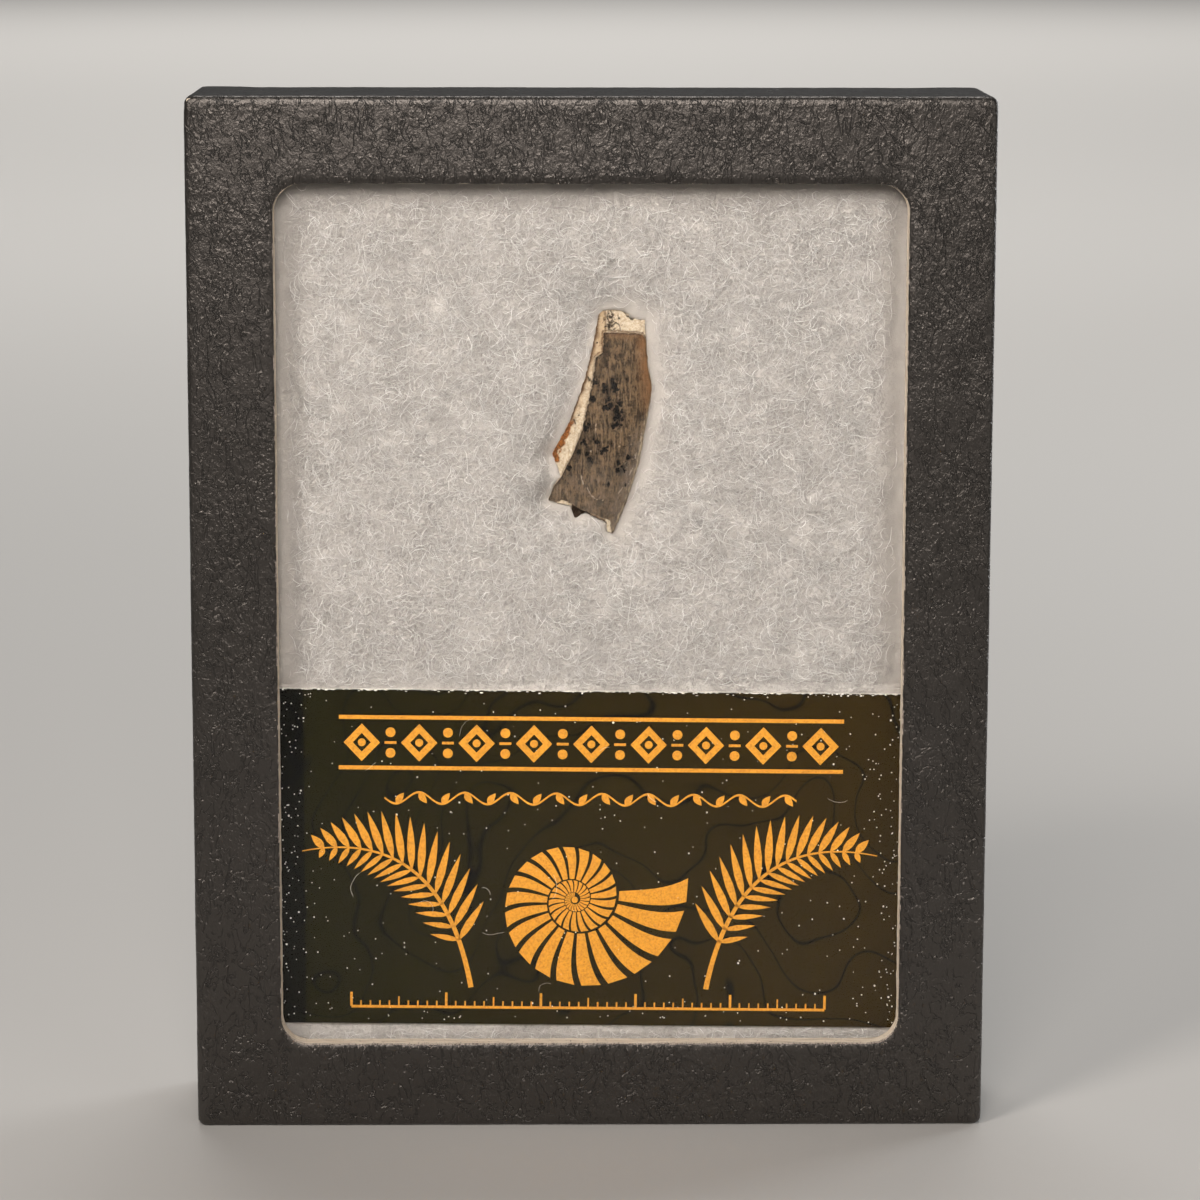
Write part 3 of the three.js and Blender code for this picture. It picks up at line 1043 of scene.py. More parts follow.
@dataclass
class Lid:
    """The lid: a folded board with a window, wrapped in embossed paper that is turned in at the rim.

    The lip is the paper's rolled edge in the window: how far outside the window's outline, and how deep.
    """

    outline: LidOutline
    board: float = 1.6
    paper: float = 0.25
    edge_radius: float = 0.5
    lip: Line = (
        (-0.06, 0.46), (-0.13, 0.31), (-0.11, 0.20), (-0.02, 0.125), (0.14, 0.07), (0.36, 0.025), (0.7, 0.0)
    )
    front_rows: int = 17
    side_rows: int = 29
    turn_in: float = 8.0
    turn_in_rows: int = 4
    cut_rows: int = 9
    taper: float = 0.2
    fuzz_count: int = 1500

    def build(self) -> list[Piece]:
        """Models and dresses the lid's pieces."""
        return [self.build_paper(), self.build_board(), self.build_fuzz()]

    def paper_rings(self) -> list[Array]:
        """The paper's outer surface, from its rolled edge in the window to its end inside the lid.

        Returns:
            Its rings of points.
        """
        o, lid = self.outline, self.outline.lid
        face, rim, radius = lid.low.y, lid.high.y, self.edge_radius
        rings = [o.ring(o.window(outset), face + sunk) for outset, sunk in self.lip]
        start, end = o.window(self.lip[-1][0]), o.case(radius, 0.4)
        for share in np.arange(1, self.front_rows + 1) / self.front_rows:
            rings.append(o.ring(start + (end - start) * share, face))
        turns = [math.radians(a) for a in (30, 60, 90)]
        for turn in turns:
            inset = radius * (1 - math.sin(turn))
            rings.append(o.ring(o.case(inset), face + radius * (1 - math.cos(turn))))
        side_start, side_end = face + radius, rim - radius
        for share in np.arange(1, self.side_rows + 1) / self.side_rows:
            rings.append(o.ring(o.case(0), side_start + (side_end - side_start) * share))
        for turn in turns:
            inset = radius * (1 - math.cos(turn))
            rings.append(o.ring(o.case(inset), side_end + radius * math.sin(turn)))
        inner = self.board + 2 * self.paper
        for turn in [0.0] + turns:
            inset = inner - radius * (1 - math.sin(turn))
            rings.append(o.ring(o.case(inset, 0.5), side_end + radius * math.cos(turn)))
        wall_end = rim - self.turn_in
        for share in np.arange(1, self.turn_in_rows + 1) / self.turn_in_rows:
            rings.append(o.ring(o.case(inner, 0.5), side_end + (wall_end - side_end) * share))
        return rings

    def build_paper(self) -> Piece:
        """The paper: swept, rubbed into folds and hollows, and given its thickness.

        Returns:
            The paper.
        """
        piece = sweep("lid_paper", self.paper_rings(), closed=False)
        points = corners_of(piece)
        lid = self.outline.lid
        inwards = -corners_of(piece, "normal")
        sink = 0.03 + 0.03 * grain(points, 6.0, 1) + 0.02 * grain(points, 1.6, 2, 2)
        on_front = points[:, 1] < lid.low.y + 0.6
        sink = np.where(on_front, sink * 0.8, sink)
        sink += self.corner_folds(points)
        corner = np.linalg.norm(points - np.array([lid.low.x + 0.6, lid.low.y, lid.high.z - 0.4]), axis=1)
        sink += np.clip(0.05 + 0.12 * grain(points, 0.9, 6, 2), 0, 0.12) * bell(corner, 1.5)
        moved = points + inwards * np.clip(sink, 0, None)[:, None]
        reach = self.lip_distance(points[:, [0, 2]] - np.array([0, lid.centre.z]))
        tug = 0.07 * grain(points, 1.1, 3, 2) * np.exp(-np.clip(reach, 0, None) / 0.5)
        towards = np.array([0, lid.centre.y, lid.centre.z]) - points
        towards[:, 1] = 0
        towards /= np.linalg.norm(towards, axis=1)[:, None]
        place_points(piece, moved + towards * tug[:, None])
        from_rim = np.minimum(
            lid.size.x / 2 - np.abs(points[:, 0]), lid.size.z / 2 - np.abs(points[:, 2] - lid.centre.z)
        )
        from_face = points[:, 1] - lid.low.y
        wear = bell(np.hypot(from_rim, from_face), 0.75) * (0.75 + 0.5 * grain(points, 2.5, 9, 2))
        mark(piece, "wear", ramp(wear))
        apply_modifier(piece, "SOLIDIFY", thickness=self.paper, offset=-1.0)
        smooth(piece, 60)
        piece.data.materials.append(EmbossedPaper().make())
        piece.data.materials.append(PaperCore().make())
        bare = self.bare_core(np.array([face.center for face in piece.data.polygons]))
        piece.data.polygons.foreach_set("material_index", bare.astype(np.int32))
        return finish_piece(piece, None, ["lid_cover_paper"])

    def bare_core(self, centres: Array) -> Array:
        """Where the die tore the paper's black coat off: most at the window's foot, none at its head.

        Args:
            centres: The middles of the paper's faces.

        Returns:
            Whether each face shows the core.
        """
        lid = self.outline.lid
        distance = self.lip_distance(centres[:, [0, 2]] - np.array([0, lid.centre.z]))
        reach = np.full(len(centres), -0.06)
        reach[centres[:, 2] < lid.low.z + self.outline.border + 1.0] = 0.03
        reach[centres[:, 2] > lid.high.z - self.outline.border - 1.5] = -1.0
        return (distance < reach) & (centres[:, 1] < lid.low.y + 1.0)

    def lip_distance(self, flat: Array) -> Array:
        """Measures from the window's outline.

        Args:
            flat: Places across and up, about the middle of the case.

        Returns:
            How far each lies outside the outline.
        """
        o = self.outline
        half = np.array([o.lid.size.x, o.lid.size.z]) / 2 - o.border - o.corner
        over = np.clip(np.abs(flat) - half, 0, None)
        return np.linalg.norm(over, axis=1) - o.corner

    def corner_folds(self, points: Array) -> Array:
        """How deep the paper sinks between the flaps that are folded round the case's corners.

        Args:
            points: Places on the paper.

        Returns:
            A depth for each place.
        """
        lid = self.outline.lid
        flap_end = lid.high.x - 5.6 + 0.35 * grain(points, 3.0, 4)
        on_ends = (points[:, 2] < lid.low.z + 0.3) | (points[:, 2] > lid.high.z - 0.3)
        between = 1 / (1 + np.exp((np.abs(points[:, 0]) - flap_end) / 0.35))
        away_from_edge = ramp(points[:, 1] - lid.low.y - 0.8, 1.5)
        return np.where(on_ends, 0.06 * between * away_from_edge, 0.0)

    def build_board(self) -> Piece:
        """The board: a closed band round the window with a rough cut edge.

        Returns:
            The board.
        """
        o, lid = self.outline, self.outline.lid
        face = lid.low.y + self.paper
        back = face + self.board
        rim = lid.high.y - self.paper
        rings = []
        for share in np.linspace(0, 1, self.cut_rows):
            ring = o.ring(o.window(-self.taper * share), face + self.board * share)
            ragged = 0.045 * grain(ring * np.array([1, 4, 1]), 0.7, 5, 3)
            rings.append(o.ring(o.window(-self.taper * share + ragged), ring[:, 1]))
        outer, inner = self.paper + 0.02, self.paper + self.board
        for inset, depth in ((inner, back), (inner, rim), (outer, rim), (outer, face)):
            rings.append(o.ring(o.case(inset, 0.3), depth))
        piece = sweep("lid_chipboard", rings, closed=True)
        smooth(piece, 35)
        return finish_piece(piece, ChipBoard().make(), ["lid_board"])

    def build_fuzz(self) -> Piece:
        """Torn fibres that stand out of the paper's and the board's edge in the window.

        Returns:
            The joined fibres.
        """
        rng = np.random.default_rng(41)
        o, lid = self.outline, self.outline.lid
        ring = np.arange(len(o.feet))
        at_foot = ring[o.window()[:, 1] < -o.lid.size.z / 2 + o.border + 0.5]
        start = np.concatenate([
            rng.choice(ring, self.fuzz_count // 3),
            rng.choice(at_foot, self.fuzz_count - self.fuzz_count // 3),
        ])
        outline, outwards = o.window()[start], o.outwards[start]
        depth = lid.low.y + rng.uniform(0.12, 0.5, self.fuzz_count)
        root = np.column_stack([outline[:, 0], depth, outline[:, 1] + lid.centre.z])
        inwards = -np.column_stack([outwards[:, 0], np.zeros(len(start)), outwards[:, 1]])
        sideways = np.column_stack([outwards[:, 1], np.zeros(len(start)), -outwards[:, 0]])
        lean = rng.normal(0, 1.0, self.fuzz_count)[:, None]
        bend = rng.normal(0, 0.12, self.fuzz_count)[:, None]
        length = rng.uniform(0.12, 0.42, self.fuzz_count)[:, None]
        heading = inwards * rng.choice((-0.8, 1.0), (self.fuzz_count, 1)) + sideways * lean * 0.5
        heading += np.array([0, -0.35, 0])
        heading /= np.linalg.norm(heading, axis=1)[:, None]
        steps = np.linspace(0, 1, 4)[None, :, None]
        paths = root[:, None, :] - inwards[:, None, :] * 0.06 + heading[:, None, :] * length[:, None] * steps
        paths += sideways[:, None, :] * bend[:, None] * steps**2
        paths[:, :, 1] = np.maximum(paths[:, :, 1], lid.low.y + 0.02)
        piece = thin_tubes("cut_edge_fuzz", paths, rng.uniform(0.014, 0.026, self.fuzz_count))
        return finish_piece(piece, PolyesterFibre(
            name="torn_paper_fibre", bright=(0.74, 0.64, 0.55), dull=(0.46, 0.38, 0.32)
        ).make())


def curl(start: Array, angles: Array, stride: Array) -> tuple[Array, Array]:
    """Walks from many places with short steps.

    Args:
        start: A place across and up for each path.
        angles: The direction of each step of each path.
        stride: The length of each path's steps.

    Returns:
        Where each step of each path ends, across and up.
    """
    return (
        start[:, :1] + np.cumsum(np.cos(angles) * stride, axis=1),
        start[:, 1:] + np.cumsum(np.sin(angles) * stride, axis=1),
    )


def thin_tubes(name: str, paths: Array, radii: Array, pale: Array | float = 0.5) -> Piece:
    """Joins many three-sided tubes, tapered at both ends, into one mesh.

    Args:
        name: The piece's name.
        paths: For each tube, the places of its middle line.
        radii: For each tube, its radius.
        pale: How pale each tube is, from 0 to 1.

    Returns:
        The new object.
    """
    count, steps, _ = paths.shape
    heading = np.gradient(paths, axis=1)
    heading /= np.maximum(np.linalg.norm(heading, axis=2), 1e-9)[:, :, None]
    side = np.cross(heading, np.array([0.0, 1.0, 0.0]))
    side /= np.maximum(np.linalg.norm(side, axis=2), 1e-9)[:, :, None]
    rise = np.cross(side, heading)
    taper = np.ones(steps)
    taper[[0, -1]] = 0.35
    reach = radii[:, None, None] * taper[None, :, None]
    corners = [
        paths + reach * (side * math.cos(turn) + rise * math.sin(turn))
        for turn in (math.pi / 2, math.pi * 7 / 6, math.pi * 11 / 6)
    ]
    points = np.stack(corners, axis=2).reshape(-1, 3)
    base = (np.arange(count)[:, None] * steps + np.arange(steps - 1)[None, :]).reshape(-1) * 3
    quads = []
    for side_number in range(3):
        a, b = base + side_number, base + (side_number + 1) % 3
        quads.append(np.column_stack([a, b, b + 3, a + 3]))
    piece = mesh_piece(name, points, np.concatenate(quads))
    mark(piece, "pale", np.repeat(np.broadcast_to(pale, count), steps * 3))
    smooth(piece, 180)
    return piece


# ---- Tray, pane and pins ----


@dataclass
class Tray:
    """The tray: a board box under plain black paper, of which the back shows."""

    span: Span = field(default_factory=lambda: Span.of("tray_cover_paper"))
    paper: float = 0.2
    edge_radius: float = 0.45
    overlap: float = 9.0
    cuts: int = 48

    def build(self) -> Piece:
        """Models the paper over the tray: a box opened in front, with rounded edges and a laid back.

        Returns:
            The paper.
        """
        size, centre = self.span.size, self.span.centre
        piece = add_block("tray_paper", centre, size)
        pick(piece, Part.FACES, lambda face: face.normal.y < -0.5)
        bpy.ops.mesh.delete(type="FACE")
        leave_edit()
        pick(piece, Part.EDGES, lambda edge: not edge.is_boundary)
        bpy.ops.mesh.bevel(offset=self.edge_radius, segments=3, affect="EDGES")
        leave_edit()
        pick(piece, Part.FACES, lambda face: face.normal.y > 0.99)
        bpy.ops.mesh.subdivide(number_cuts=self.cuts)
        leave_edit()
        points = corners_of(piece)
        flat = np.abs(points[:, [0, 2]] - np.array([centre.x, centre.z]))
        inset = np.minimum(size.x / 2 - flat[:, 0], size.z / 2 - flat[:, 1])
        on_back = points[:, 1] > self.span.high.y - 0.01
        sunk = 0.1 / (1 + np.exp((self.overlap + 0.5 * grain(points, 5, 7) - inset) / 0.25))
        sunk += 0.05 + 0.05 * grain(points, 14.0, 8)
        points[:, 1] -= np.where(on_back & (inset > 1.0), sunk * ramp(inset - 1, 2), 0)
        place_points(piece, points)
        apply_modifier(piece, "SOLIDIFY", thickness=self.paper, offset=-1.0)
        smooth(piece, 40)
        apply_modifier(piece, "WEIGHTED_NORMAL", weight=100, keep_sharp=True)
        return finish_piece(piece, PlainPaper().make(), ["tray_cover_paper"])


@dataclass
class Pane:
    """The pane: float glass with its cut edges just dulled."""

    span: Span = field(default_factory=lambda: Span.of("window_glass"))
    arris: float = 0.12

    def build(self) -> Piece:
        """Models the pane: a block with its edges taken off.

        Returns:
            The pane.
        """
        piece = add_block("pane", self.span.centre, self.span.size)
        apply_modifier(piece, "BEVEL", width=self.arris, segments=2)
        finish_piece(piece, ClearPane().make(), ["window_glass"])
        piece.visible_shadow = False
        return piece


class Side(Enum):
    """The side wall that a pin goes through."""

    LEFT = -1
    RIGHT = 1


@dataclass
class Pin:
    """A steel pin through the side walls: shank, point and low round head.

    The crown is the head's profile: each step's share of its height, and its width against the step before.
    """

    side: Side
    shank_radius: float = 0.35
    head_radius: float = 1.2
    head_height: float = 0.5
    crown: Line = ((0.3, 1.0), (0.35, 0.86), (0.25, 0.66), (0.1, 0.4))
    point_length: float = 1.6
    point_spread: float = 0.08

    def build(self) -> Piece:
        """Models the pin: a rod whose ends are extruded and drawn in or out.

        Returns:
            The pin.
        """
        node = f"pin_{self.side.name.lower()}"
        span = Span.of(node)
        sign = self.side.value
        length = span.size.x - self.head_height - self.point_length
        under_head = (span.high.x if sign > 0 else -span.low.x) - self.head_height
        middle = Vector((sign * (under_head - length / 2), span.centre.y, span.centre.z))
        bpy.ops.mesh.primitive_cylinder_add(
            vertices=32, radius=self.shank_radius, depth=length, end_fill_type="NGON",
            location=middle, rotation=(0, math.pi / 2, 0),
        )
        piece = start_piece(f"steel_{node}")
        pick(piece, Part.FACES, lambda face: face.normal.x * sign < -0.9)
        self.step(-sign * self.point_length, self.point_spread, middle)
        leave_edit()
        pick(piece, Part.FACES, lambda face: face.normal.x * sign > 0.9)
        self.step(0.0, self.head_radius / self.shank_radius, middle)
        for rise, spread in self.crown:
            self.step(sign * self.head_height * rise, spread, middle)
        leave_edit()
        apply_modifier(piece, "BEVEL", width=0.04, segments=2, limit_method="ANGLE",
                       angle_limit=math.radians(50))
        smooth(piece, 50)
        return finish_piece(piece, PlatedSteel().make(), [node])

    def step(self, along: float, spread: float, middle: Vector) -> None:
        """Extrudes the selected end along X and widens or narrows it about the pin's axis."""
        bpy.ops.mesh.extrude_region_move(TRANSFORM_OT_translate={"value": (along, 0, 0)})
        bpy.ops.transform.resize(value=(1, spread, spread), center_override=middle)


# ---- Tooth shard ----


# Lines on the shard in millimetres across and up, about its middle.
SHARD_EDGE: Line = (
    (-0.4, 9.8), (-0.1, 11.1), (0.3, 11.4), (1.6, 11.6), (2.8, 11.3), (3.2, 10.7), (4.6, 10.5), (4.7, 8.5),
    (4.9, 5.5), (5.3, 3.3), (4.8, 0.2), (4.0, -4.3), (2.7, -8.5), (1.5, -11.5), (1.3, -11.9), (0.7, -11.6),
    (0.7, -10.6), (-1.4, -9.6), (-2.6, -10.2), (-3.1, -8.9), (-5.4, -8.5), (-4.8, -7.0), (-4.1, -6.0),
    (-5.0, -3.6), (-4.3, -2.4), (-3.0, 0.2), (-1.5, 4.6), (-0.7, 7.9),
)
TOP_RIDGE: Line = ((0.50, 11.4), (0.56, 10.2), (0.50, 9.3))
LEFT_BREAK: Line = (
    (-0.2, 11.3), (-0.4, 9.8), (-0.7, 7.9), (-1.5, 4.6), (-3.0, 0.2), (-4.3, -2.4), (-5.0, -3.6)
)
RIGHT_EDGE: Line = ((4.75, 9.0), (4.9, 5.5), (5.3, 3.3), (4.95, 0.6))
FOOT_EDGE: Line = ((5.25, 2.4), (4.75, 0.2), (3.95, -4.3), (2.65, -8.5), (1.45, -11.5))
RUST_EDGE: Line = ((-3.3, -0.2), (-4.2, -2.3), (-4.95, -3.5), (-4.75, -3.95))


def edge_distance(places: Array, line: Line) -> Array:
    """Measures from a line of points.

    Args:
        places: Places across and up.
        line: The line's corners.

    Returns:
        One distance for each place.
    """
    best = np.full(len(places), np.inf)
    for start, end in zip(line, line[1:]):
        a, along = np.array(start), np.array(end) - np.array(start)
        share = np.clip(((places - a) @ along) / (along @ along), 0, 1)
        best = np.minimum(best, np.linalg.norm(places - a - share[:, None] * along, axis=1))
    return best


def inside_by(places: Array, outline: Line) -> Array:
    """How far each place lies inside a closed outline, below 0 outside it.

    Args:
        places: Places across and up.
        outline: The outline's corners.

    Returns:
        One distance for each place.
    """
    ring = list(outline) + [outline[0]]
    distance = edge_distance(places, ring)
    inside = np.zeros(len(places), dtype=bool)
    for (x0, y0), (x1, y1) in zip(ring, ring[1:]):
        if y0 == y1:
            continue
        crosses = (places[:, 1] >= min(y0, y1)) & (places[:, 1] < max(y0, y1))
        at = x0 + (places[:, 1] - y0) * (x1 - x0) / (y1 - y0)
        inside ^= crosses & (places[:, 0] < at)
    return np.where(inside, distance, -distance)


@dataclass(frozen=True)
class Spot:
    """A small round place on the shard, about its middle."""

    across: float
    up: float
    radius: float
    strength: float = 1.0


def spots_of(*rows: tuple[float, ...]) -> tuple[Spot, ...]:
    """Spots from rows of across, up, radius and, where it isn't 1, strength."""
    return tuple(Spot(*row) for row in rows)


@dataclass(frozen=True)
class ShardCorners:
    """The corners of the shard's mesh, one value each, and what is known of them.

    They lie across and up from the shard's middle, behind its crest by a depth, under the crown's full
    surface and inside the enamel's edge, which is ragged. Enamel is 1 on enamel and 0 where it broke off.
    """

    points: Array
    normals: Array
    across: Array
    up: Array
    depth: Array
    under: Array
    ragged: Array
    inside: Array
    enamel: Array

    @property
    def broken(self) -> Array:
        """How far each is bare dentine."""
        return 1 - self.enamel

    def faces(self, limit: float) -> Array:
        """Whether the normal of each leans less far back than a limit."""
        return self.normals[:, 1] < limit

    def grain(self, size: float, seed: int, octaves: int = 1) -> Array:
        """Smooth noise at each."""
        return grain(self.points, size, seed, octaves)

    def from_line(self, line: Line) -> Array:
        """Distance of each from a line of points."""
        return edge_distance(np.column_stack([self.across, self.up]), line)

    def spot(self, spot: Spot, seed: int, soft: float = 0.3) -> Array:
        """A round spot with a ragged edge, a little longer than it is wide.

        Args:
            spot: The spot's place and size.
            seed: Picks the edge's noise.
            soft: Width of the edge against the spot's radius; the edge lies where the value is 0.5.

        Returns:
            1 inside the spot, falling to 0 outside it.
        """
        near = np.hypot(
            (self.across - spot.across) / spot.radius, (self.up - spot.up) / (spot.radius * 1.25)
        )
        value = np.zeros(len(near))
        close = near < 2.2
        ragged = 0.9 * grain(self.points[close], 0.22, seed, 2)
        value[close] = ramp(0.5 + (0.9 + ragged - near[close]) / soft)
        return value


@dataclass
class ToothShard:
    """The shard: its main shape from the frame, worked up with streaks, chips, pits and stains."""

    span: Span = field(default_factory=lambda: Span.of("tooth_shard"))
    middle_across: float = 1.0
    middle_up: float = 74.3
    lean: float = math.radians(11.3)
    crest_offset: float = 1.3
    crown_radius: float = 9.0
    crown_arc: float = 60.0
    enamel: float = 0.35
    voxel: float = 0.085
    pit_depth: float = 0.30
    crack_depth: float = 0.12
    crazing_depth: float = 0.14
    ridge_depth: float = 0.08
    spot_depth: float = 0.04
    enamel_edge: Line = (
        (0.3, 9.25), (3.6, 9.2), (4.3, 9.0), (4.7, 8.5), (5.6, 5.5), (6.0, 3.3), (5.5, 0.2), (4.7, -4.3),
        (3.4, -8.5), (2.2, -11.5), (1.3, -12.5), (1.08, -11.3), (1.0, -10.45), (-1.9, -9.25), (-2.9, -8.7),
        (-3.9, -8.35), (-4.5, -8.6), (-5.8, -8.8), (-4.8, -7.0), (-4.1, -6.0), (-3.5, -4.7), (-2.8, -3.3),
        (-2.0, -1.2), (-1.6, 0.3), (-0.9, 3.7), (-0.7, 5.1), (-0.5, 6.6), (-0.2, 6.95), (0.2, 7.1),
    )
    spots: Sequence[Spot] = spots_of(
        (-0.55, 4.1, 0.24), (-0.72, 4.45, 0.14), (0.3, 3.85, 0.2), (0.55, 3.6, 0.22), (0.33, 3.3, 0.22),
        (0.7, 3.2, 0.14), (1.2, 4.35, 0.28), (1.5, 3.8, 0.34), (1.6, 3.4, 0.34), (1.3, 3.65, 0.2),
        (-0.8, 2.4, 0.3), (0.85, 2.3, 0.26), (0.6, 2.15, 0.16), (1.0, 1.75, 0.28), (0.46, 1.5, 0.28),
        (0.75, 1.4, 0.16), (2.0, 1.9, 0.3), (1.7, 1.6, 0.2), (1.7, 1.2, 0.32), (2.15, 1.15, 0.2),
        (1.4, 1.35, 0.16), (1.87, 0.6, 0.3), (2.25, 0.3, 0.2), (1.5, 0.3, 0.22), (1.75, -0.15, 0.28),
        (1.35, -0.45, 0.2), (2.1, -0.3, 0.16), (-1.5, -0.6, 0.34), (-1.2, -0.25, 0.18),
        (-1.7, -2.0, 0.22), (-1.55, -2.35, 0.2), (-2.0, -2.2, 0.16), (-0.36, -2.1, 0.3),
        (-0.7, -1.8, 0.16), (0.46, -2.85, 0.3), (0.15, -3.2, 0.2), (0.75, -2.6, 0.16), (-2.2, -3.2, 0.26),
        (-1.1, -3.8, 0.36, 0.85), (-1.35, -3.4, 0.2), (-0.85, -4.2, 0.2, 0.8), (-3.25, -4.95, 0.28),
        (1.87, -4.3, 0.24), (1.8, -5.05, 0.3, 0.9), (2.5, -5.05, 0.26, 0.8), (2.9, -3.7, 0.26, 0.8),
        (2.2, -4.7, 0.2, 0.85), (0.87, -6.5, 0.18, 0.85), (2.6, -6.7, 0.22, 0.8),
    )
    smudges: Sequence[Spot] = spots_of(
        (0.6, 8.6, 0.4), (0.75, 7.9, 0.45), (0.4, 7.3, 0.4), (2.6, 7.9, 0.35, 0.6), (1.6, 0.9, 1.0, 0.7),
        (0.6, 2.8, 0.9, 0.6), (-1.1, -3.3, 0.9, 0.7), (2.1, -4.7, 0.8, 0.7), (-1.4, -0.9, 0.6, 0.6),
        (1.5, 4.9, 0.7, 0.5), (3.4, 5.6, 0.4, 0.6), (-0.3, 4.9, 0.6, 0.6), (-3.0, -5.6, 0.6, 0.5),
    )
    pits: Sequence[Spot] = spots_of(
        (0.85, 9.9, 0.2), (0.95, 10.75, 0.16), (3.15, 10.8, 0.26),
    )
    cracks: Sequence[Line] = (
        ((0.80, 11.25), (0.72, 10.6), (0.95, 10.2), (0.78, 9.75), (0.86, 9.45)),
        ((1.05, 11.3), (1.35, 10.95), (1.12, 10.6), (1.38, 10.3), (1.2, 10.05)),
        ((1.2, 9.75), (1.55, 10.15), (1.9, 9.95), (2.08, 9.45)),
        ((0.95, 9.5), (1.3, 9.4), (1.5, 9.55)),
        ((2.5, 11.2), (2.75, 10.85), (3.4, 10.6)),
        ((-1.3, 4.55), (-1.15, 4.2)), ((-1.05, 4.35), (-0.95, 4.0)),
        ((-2.75, 0.1), (-2.6, -0.3)),
    )
    scuffs: Sequence[Line] = (
        ((-1.35, -6.9), (-1.0, -7.65), (-0.45, -8.1), (0.3, -8.25)), ((1.9, -7.5), (2.3, -7.0), (2.7, -6.7)),
        ((-0.45, -0.2), (-0.48, -0.9)), ((3.0, -5.6), (3.35, -4.9)), ((3.6, -3.9), (3.75, -3.2)),
        ((2.55, -4.4), (2.7, -4.25)), ((-2.0, -5.6), (-1.75, -6.6)), ((2.95, -6.6), (3.1, -6.2)),
        ((4.15, -2.1), (4.3, -1.2)), ((-1.1, -2.9), (-0.95, -3.05)),
    )

    def build(self) -> Piece:
        """Models the shard from its solid in the frame, then dresses it.

        Returns:
            The shard.
        """
        source = bpy.data.objects["tooth_shard"]
        piece = stand("fossil_tooth_shard", source.data.copy())
        piece.data.transform(source.matrix_world)
        piece.data.transform(Matrix.Scale(1 / MM, 4))
        pick_only(piece)
        bpy.ops.object.mode_set(mode="EDIT")
        bpy.ops.mesh.select_all(action="SELECT")
        bpy.ops.mesh.remove_doubles(threshold=0.001)
        leave_edit()
        apply_modifier(piece, "REMESH", mode="VOXEL", voxel_size=self.voxel)
        apply_modifier(piece, "SMOOTH", factor=0.5, iterations=2)
        self.carve(piece)
        smooth(piece, 180)
        return finish_piece(piece, FossilTooth().make(), ["tooth_shard"])

    def about_middle(self, across: Array, up: Array) -> Array:
        """Places in the case as places about the shard's middle, one row each."""
        return np.column_stack([across - self.middle_across, up - self.middle_up])

    def turned(self, across: Array, up: Array) -> tuple[Array, Array]:
        """How far places lie beside the crown's crest line, and along it."""
        off, turn = across - self.crest_offset, self.lean
        return off * math.cos(turn) - up * math.sin(turn), off * math.sin(turn) + up * math.cos(turn)

    def crown_depth(self, across: Array, up: Array) -> Array:
        """Measures the crown's surface on and round the shard.

        Args:
            across: Places across, about the shard's middle.
            up: Places up.

        Returns:
            How far the surface lies behind its crest.
        """
        sideways, along = self.turned(across, up)
        sideways, along = np.clip(sideways, -5.6, 5.6), np.clip(along, -14, 14)
        sag = self.crown_arc - np.sqrt(self.crown_arc**2 - along**2)
        return self.crown_radius - np.sqrt(self.crown_radius**2 - sideways**2) + sag

    def below_crown(self, across: Array, up: Array, depth: Array) -> Array:
        """Measures down from the crown's full surface.

        Args:
            across: Places across, about the shard's middle.
            up: Places up.
            depth: Places behind its crest.

        Returns:
            How deep each lies under the surface.
        """
        sideways, along = self.turned(across, up)
        sag = self.crown_arc - np.sqrt(np.maximum(self.crown_arc**2 - along**2, 0))
        return self.crown_radius - sag - np.hypot(sideways, depth - self.crown_radius)

    def survey(self, piece: Piece) -> ShardCorners:
        """Says of each corner where it lies on the shard and whether it is enamel.

        Args:
            piece: The shard, in millimetres.

        Returns:
            The corners.
        """
        points, normals = corners_of(piece), corners_of(piece, "normal")
        flat = self.about_middle(points[:, 0], points[:, 2])
        across, up, depth = flat[:, 0], flat[:, 1], points[:, 1] - self.span.low.y
        under = self.below_crown(across, up, depth)
        ragged = 0.10 * grain(points, 0.7, 11, 3) + 0.08 * grain(points, 0.3, 12, 2)
        inside = inside_by(flat, self.enamel_edge) + ragged
        coat = ramp(self.enamel * 0.75 - under, 0.12)
        coat = np.maximum(ramp(-normals[:, 1] - 0.1, 0.25) * coat, coat * 0.6)
        enamel = ramp(inside / 0.06 + 0.5) * coat
        return ShardCorners(points, normals, across, up, depth, under, ragged, inside, enamel)

    def relief(self, at: ShardCorners) -> Array:
        """Roughens the breaks and streaks the enamel.

        Args:
            at: The corners.

        Returns:
            How far each is pushed out.
        """
        turn = self.lean
        leaning = np.column_stack([
            at.across * math.cos(turn) - at.up * math.sin(turn), at.depth,
            (at.across * math.sin(turn) + at.up * math.cos(turn)) * 0.1,
        ])
        push = at.broken * (0.10 * at.grain(1.4, 13, 3) + 0.05 * at.grain(0.45, 14, 2))
        return push + at.enamel * (0.028 * grain(leaning, 0.4, 15, 2) + 0.03 * at.grain(2.4, 16))

